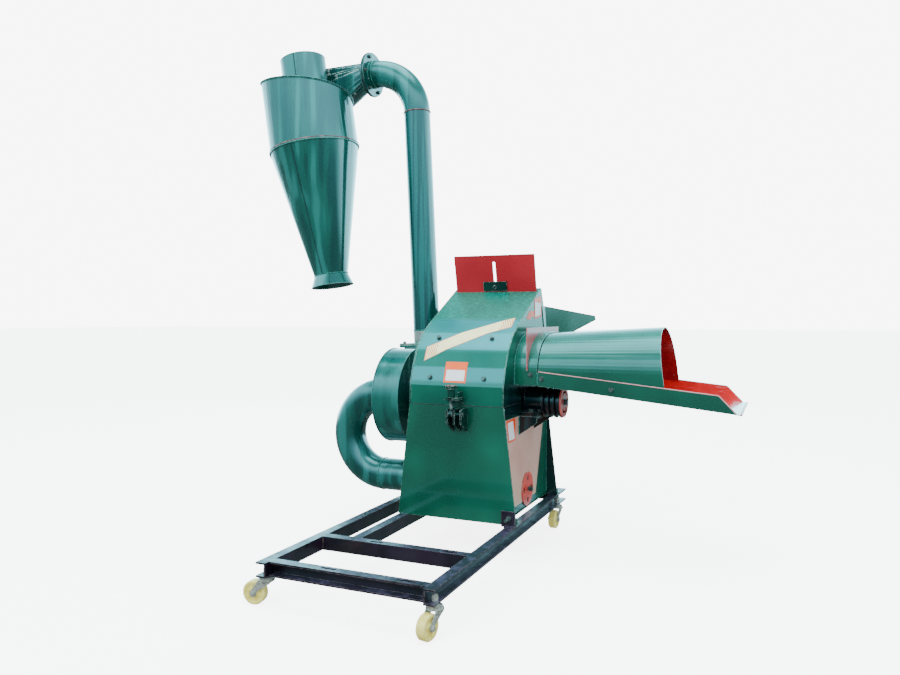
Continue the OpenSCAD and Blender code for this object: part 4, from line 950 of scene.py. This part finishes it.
def on_front(x, s, proud):
    """Point of the hood's folded front, at a distance s up its surface."""
    k = 0
    while k < len(HOOD_FRONT) - 2 and FRONT_LENGTHS[k + 1] < s:
        k += 1
    (y0, z0), (y1, z1) = HOOD_FRONT[k], HOOD_FRONT[k + 1]
    span = FRONT_LENGTHS[k + 1] - FRONT_LENGTHS[k]
    f = (s - FRONT_LENGTHS[k]) / span
    ny, nz = -(z1 - z0) / span, (y1 - y0) / span
    return at(x, y0 + (y1 - y0) * f + ny * proud, z0 + (z1 - z0) * f + nz * proud)


def height_on_front(z):
    """Distance up the folded front to a given height."""
    heights = [level for _, level in HOOD_FRONT]
    for k, (z0, z1) in enumerate(zip(heights, heights[1:])):
        if z <= z1:
            span = FRONT_LENGTHS[k + 1] - FRONT_LENGTHS[k]
            return FRONT_LENGTHS[k] + (z - z0) / (z1 - z0) * span
    return FRONT_LENGTHS[-1]


def film(name, surface, outline, body, material, proud=0.9, cols=24, rows=8):
    """Thin sticker over a surface function, between four corners in its own two axes."""
    points = []
    for level in (proud, 0.2):
        for j in range(rows + 1):
            for i in range(cols + 1):
                u, v = i / cols, j / rows
                low = [outline[0][k] * (1 - u) + outline[1][k] * u for k in (0, 1)]
                top = [outline[3][k] * (1 - u) + outline[2][k] * u for k in (0, 1)]
                p = [low[k] * (1 - v) + top[k] * v for k in (0, 1)]
                points.append(surface(p[0], p[1], level))
    wide = cols + 1
    layer = wide * (rows + 1)
    faces = []
    for j in range(rows):
        for i in range(cols):
            a = j * wide + i
            faces.append((a, a + 1, a + wide + 1, a + wide))
            faces.append((layer + a, layer + a + wide, layer + a + wide + 1, layer + a + 1))
    rim = list(range(wide)) + [j * wide + cols for j in range(1, rows + 1)]
    rim += [rows * wide + i for i in range(cols - 1, -1, -1)] + [j * wide for j in range(rows - 1,
                                                                                         0, -1)]
    for a, b in zip(rim, rim[1:] + rim[:1]):
        faces.append((a, layer + a, layer + b, b))
    return piece(name, (points, faces), material, body, False)


def on_right_side(y, z, proud):
    return at(BODY_HALF + proud, y, z)


def stickers():
    """Cream stripe and plain labels, each a border with a field on top."""
    low_left, high_left = height_on_front(770), height_on_front(822)
    low_right, high_right = height_on_front(906), height_on_front(941)
    stripe = [(-151, low_left), (172, low_right), (167, high_right), (-151, high_left)]
    border = [(-154, low_left - 2.5), (175, low_right - 2.5),
              (170, high_right + 2.5), (-154, high_left + 2.5)]
    film("hood_stripe_border", on_front, border, "hood", STRIPE_EDGE, 0.6, 64, 16)
    film("hood_stripe", on_front, stripe, "hood", CREAM, 1.1, 64, 16)
    low, high = height_on_front(687), height_on_front(767)
    border = [(-55, low), (40, low), (40, high), (-54, high)]
    field = [(-47, low + 8), (33, low + 8), (32, high - 34), (-46, high - 34)]
    film("hood_label_border", on_front, border, "hood", ORANGE, 0.9, 16, 20)
    film("hood_label_field", on_front, field, "hood", WHITE, 1.3, 16, 20)
    for name, body, material, proud, outline in (
            ("side_label_border", "hood", ORANGE_DEEP, 0.9,
             [(103, 936), (201, 949), (194, 1036), (100, 1024)]),
            ("side_label_field", "hood", WHITE, 1.3,
             [(110, 946), (192, 957), (188, 1003), (108, 1011)]),
            ("side_mark", "hood", ORANGE_DEEP, 0.9,
             [(-10, 938), (47, 934), (60, 962), (34, 970)]),
            ("side_mark_arm", "hood", ORANGE_DEEP, 1.1,
             [(48, 946), (98, 946), (98, 971), (40, 971)]),
            ("stand_label_border", "root", ORANGE_DEEP, 0.9,
             [(-226, 455), (-147, 456), (-150, 544), (-254, 542)]),
            ("stand_label_field", "root", WHITE, 1.3,
             [(-222, 463), (-156, 463), (-178, 536), (-240, 534)])):
        film(name, on_right_side, outline, body, material, proud)


# ---- frame, casters and clamp ----

def frame_details():
    """Fillet welds where the cross members meet the rails."""
    low, high = corners("cross_members")
    for end, y in CROSS_MEMBER_Y.items():
        for x, side in ((low.x + MM, "left"), (high.x - MM, "right")):
            base = Vector((x, at(0, y, 0).y, CHANNEL_WEB_Z * MM))
            path = [base, base + Vector((0, 0, CHANNEL_WEB_H * MM))]
            bead("frame_%s_%s_weld" % (end, side), path, 3.0, material=FRAME_WELD)


def wheel_details():
    """Six moulded ribs in the hollows on both sides of each wheel."""
    inner, outer, half = 15.5 * MM, 28.5 * MM, 1.6 * MM
    root, tip = (WHEEL_WIDTH / 2 - 4.5) * MM, (WHEEL_WIDTH / 2 - 1) * MM
    quads = ((0, 1, 3, 2), (4, 6, 7, 5), (0, 4, 5, 1), (2, 3, 7, 6), (1, 5, 7, 3), (0, 2, 6, 4))
    up = Vector((0, 0, 1))
    for caster, heading in CASTER_HEADINGS.items():
        low, high = corners(caster + "_wheel")
        centre = (low + high) / 2
        a = radians(heading + 90)
        axle = Vector((cos(a), sin(a), 0))
        across = axle.cross(up)
        verts = []
        faces = []
        for end in (-1, 1):
            for k in range(6):
                a = pi * k / 3 + 0.3
                out = up * sin(a) + across * cos(a)
                sideways = axle.cross(out)
                base = len(verts)
                for r in (inner, outer):
                    for w in (-half, half):
                        for depth, taper in ((root, 1.0), (tip, 0.7)):
                            verts.append(centre + out * r + sideways * w * taper
                                         + axle * end * depth)
                faces += [tuple(base + i for i in q) for q in quads]
        piece(caster + "_wheel_ribs", (verts, faces), NYLON, caster + "_wheel", False)


def clamp_details():
    """Thread on the lower part of the swing bolt."""
    z0, z1 = CLAMP_Z + 16, CLAMP_Z + 54
    radius, pitch, per_turn = 6, 1.75, 12
    steps = int((z1 - z0) / pitch * per_turn)
    path = []
    for i in range(steps + 1):
        a = 2 * pi * i / per_turn
        path.append(at(CLAMP_X + radius * cos(a), CLAMP_Y + radius * sin(a),
                       z0 + (z1 - z0) * i / steps))
    shape = tube_mesh(path, [0.55 * MM] * len(path), False, 5)
    piece("swing_bolt_thread_lower", shape, DARK_GREEN, "swing_bolt")


# ---- stage, lights and camera ----

DAYLIGHT = 1.7
GLOSS_SKY = 5.6
BACKDROP = 8.0
FLOOR_GLOW = 5.0
FLOOR_HALF = 60.0

# Skies as stops of (height of the direction from -1 to 1, colour)
DAY_SKY = [(-0.3, (0.45, 0.46, 0.45)), (0.2, (0.86, 0.92, 0.94)), (1.0, (0.76, 0.94, 1.0))]
FRONT_SKY = [(-1.0, (0.02, 0.03, 0.03)), (-0.04, (0.03, 0.05, 0.05)), (0.06, (0.05, 0.13, 0.15)),
             (0.26, (0.12, 0.29, 0.34)), (0.44, (0.22, 0.56, 0.64)), (0.62, (0.24, 0.60, 0.68)),
             (0.74, (0.05, 0.15, 0.16)), (0.85, (0.06, 0.17, 0.18)), (0.93, (0.40, 0.90, 1.0)),
             (1.0, (0.40, 0.90, 1.0))]
REAR_SKY = [(-0.06, (0.03, 0.05, 0.05)), (0.01, (0.40, 0.90, 1.0)), (0.28, (0.36, 0.82, 0.94)),
            (0.48, (0.14, 0.36, 0.42)), (0.70, (0.05, 0.15, 0.16)), (0.88, (0.06, 0.18, 0.19)),
            (0.94, (0.40, 0.90, 1.0)), (1.0, (0.40, 0.90, 1.0))]


def stage():
    """Pale floor that glows to the camera, and is left out of the reflections."""
    mesh = bpy.data.meshes.new("floor")
    square = [(x * FLOOR_HALF, y * FLOOR_HALF, 0) for x, y in ((-1, -1), (1, -1), (1, 1), (-1, 1))]
    mesh.from_pydata(square, [], [(0, 1, 2, 3)])
    floor = bpy.data.objects.new("floor", mesh)
    bpy.context.scene.collection.objects.link(floor)
    s = Shader("floor_pale", Emission_Color=(1, 1, 1, 1), Emission_Strength=FLOOR_GLOW)
    color = s.mix(s.noise(1.2, 2.0), rgb(244, 244, 244), rgb(250, 250, 250))
    mesh.materials.append(s.finish(color, s.step(s.noise(3.0), 0.0, 1.0, 0.75, 0.85)))
    floor.visible_glossy = False
    floor.visible_diffuse = False


def world():
    """White to the camera, soft daylight on the surfaces, and a banded sky in the gloss."""
    scene_world = bpy.data.worlds.new("studio")
    bpy.context.scene.world = scene_world
    scene_world.use_nodes = True
    n = Nodes(scene_world.node_tree)
    rays = n.add("ShaderNodeLightPath").outputs
    towards = n.add("ShaderNodeTexCoord").outputs["Generated"]
    split = n.feed(n.add("ShaderNodeSeparateXYZ"), {0: towards}).outputs
    height = n.feed(n.add("ShaderNodeMapRange"), {"Value": split["Z"], "From Min": -1})
    day, front, rear = (sky_ramp(n, height.outputs["Result"], stops)
                        for stops in (DAY_SKY, FRONT_SKY, REAR_SKY))
    behind = n.feed(n.add("ShaderNodeMapRange"),
                    {"Value": split["Y"], "From Min": -0.1, "From Max": 0.4})
    banded = n.feed(n.add("ShaderNodeMix", data_type="RGBA"),
                    {"Factor": behind.outputs["Result"], 6: front, 7: rear})
    daylight = n.feed(n.tree.nodes["Background"], {"Strength": DAYLIGHT, "Color": day})
    shader = daylight.outputs[0]
    for ray, strength, color in (("Is Glossy Ray", GLOSS_SKY, banded.outputs[2]),
                                 ("Is Camera Ray", BACKDROP, (1, 1, 1, 1))):
        other = n.feed(n.add("ShaderNodeBackground"), {"Strength": strength, "Color": color})
        mix = n.feed(n.add("ShaderNodeMixShader"), {0: rays[ray], 1: shader, 2: other.outputs[0]})
        shader = mix.outputs[0]
    n.feed(n.tree.nodes["World Output"], {"Surface": shader})


def sky_ramp(n, height, stops):
    """Colour by the height of a direction."""
    ramp = n.feed(n.add("ShaderNodeValToRGB"), {0: height})
    elements = ramp.color_ramp.elements
    while len(elements) < len(stops):
        elements.new(0.5)
    for element, (z, color) in zip(elements, stops):
        element.position = (z + 1) / 2
        element.color = (*color, 1)
    return ramp.outputs[0]


def area_light(name, place, target, size, power, color):
    data = bpy.data.lights.new(name, "AREA")
    data.shape = "RECTANGLE"
    data.size, data.size_y = size
    data.energy = power
    data.color = color
    light = bpy.data.objects.new(name, data)
    light.location = place
    light.visible_glossy = False
    light.rotation_euler = (Vector(target) - Vector(place)).to_track_quat("-Z", "Y").to_euler()
    bpy.context.scene.collection.objects.link(light)


def lights():
    area_light("front_key", (-1.6, -4.6, 3.6), (0.0, 0.0, 0.9), (3.2, 1.8), 230, (0.86, 0.96, 1.0))
    area_light("top_soft", (0.2, -0.6, 4.8), (0.0, 0.0, 0.8), (3.6, 3.0), 200, (0.80, 0.94, 1.0))
    area_light("right_fill", (4.6, -2.2, 2.4), (0.1, 0.0, 0.8), (2.0, 2.4), 50, (0.86, 0.96, 1.0))
    area_light("back_rim", (-2.6, 4.4, 3.2), (-0.2, 0.0, 1.0), (2.6, 2.0), 130, (0.80, 0.94, 1.0))


def camera():
    data = bpy.data.cameras.new("camera")
    data.lens = 30.434
    data.sensor_width = 36
    cam = bpy.data.objects.new("camera", data)
    cam.location = (1.2177, -2.8390, 0.9427)
    cam.rotation_euler = (radians(88.502), 0, radians(23.827))
    bpy.context.scene.collection.objects.link(cam)
    bpy.context.scene.camera = cam


camera()
dress_nodes()
cyclone_details()
riser_details()
fan_details()
stand_details()
hood_details()
gate_details()
hopper_details()
stickers()
frame_details()
wheel_details()
clamp_details()
stage()
world()
lights()
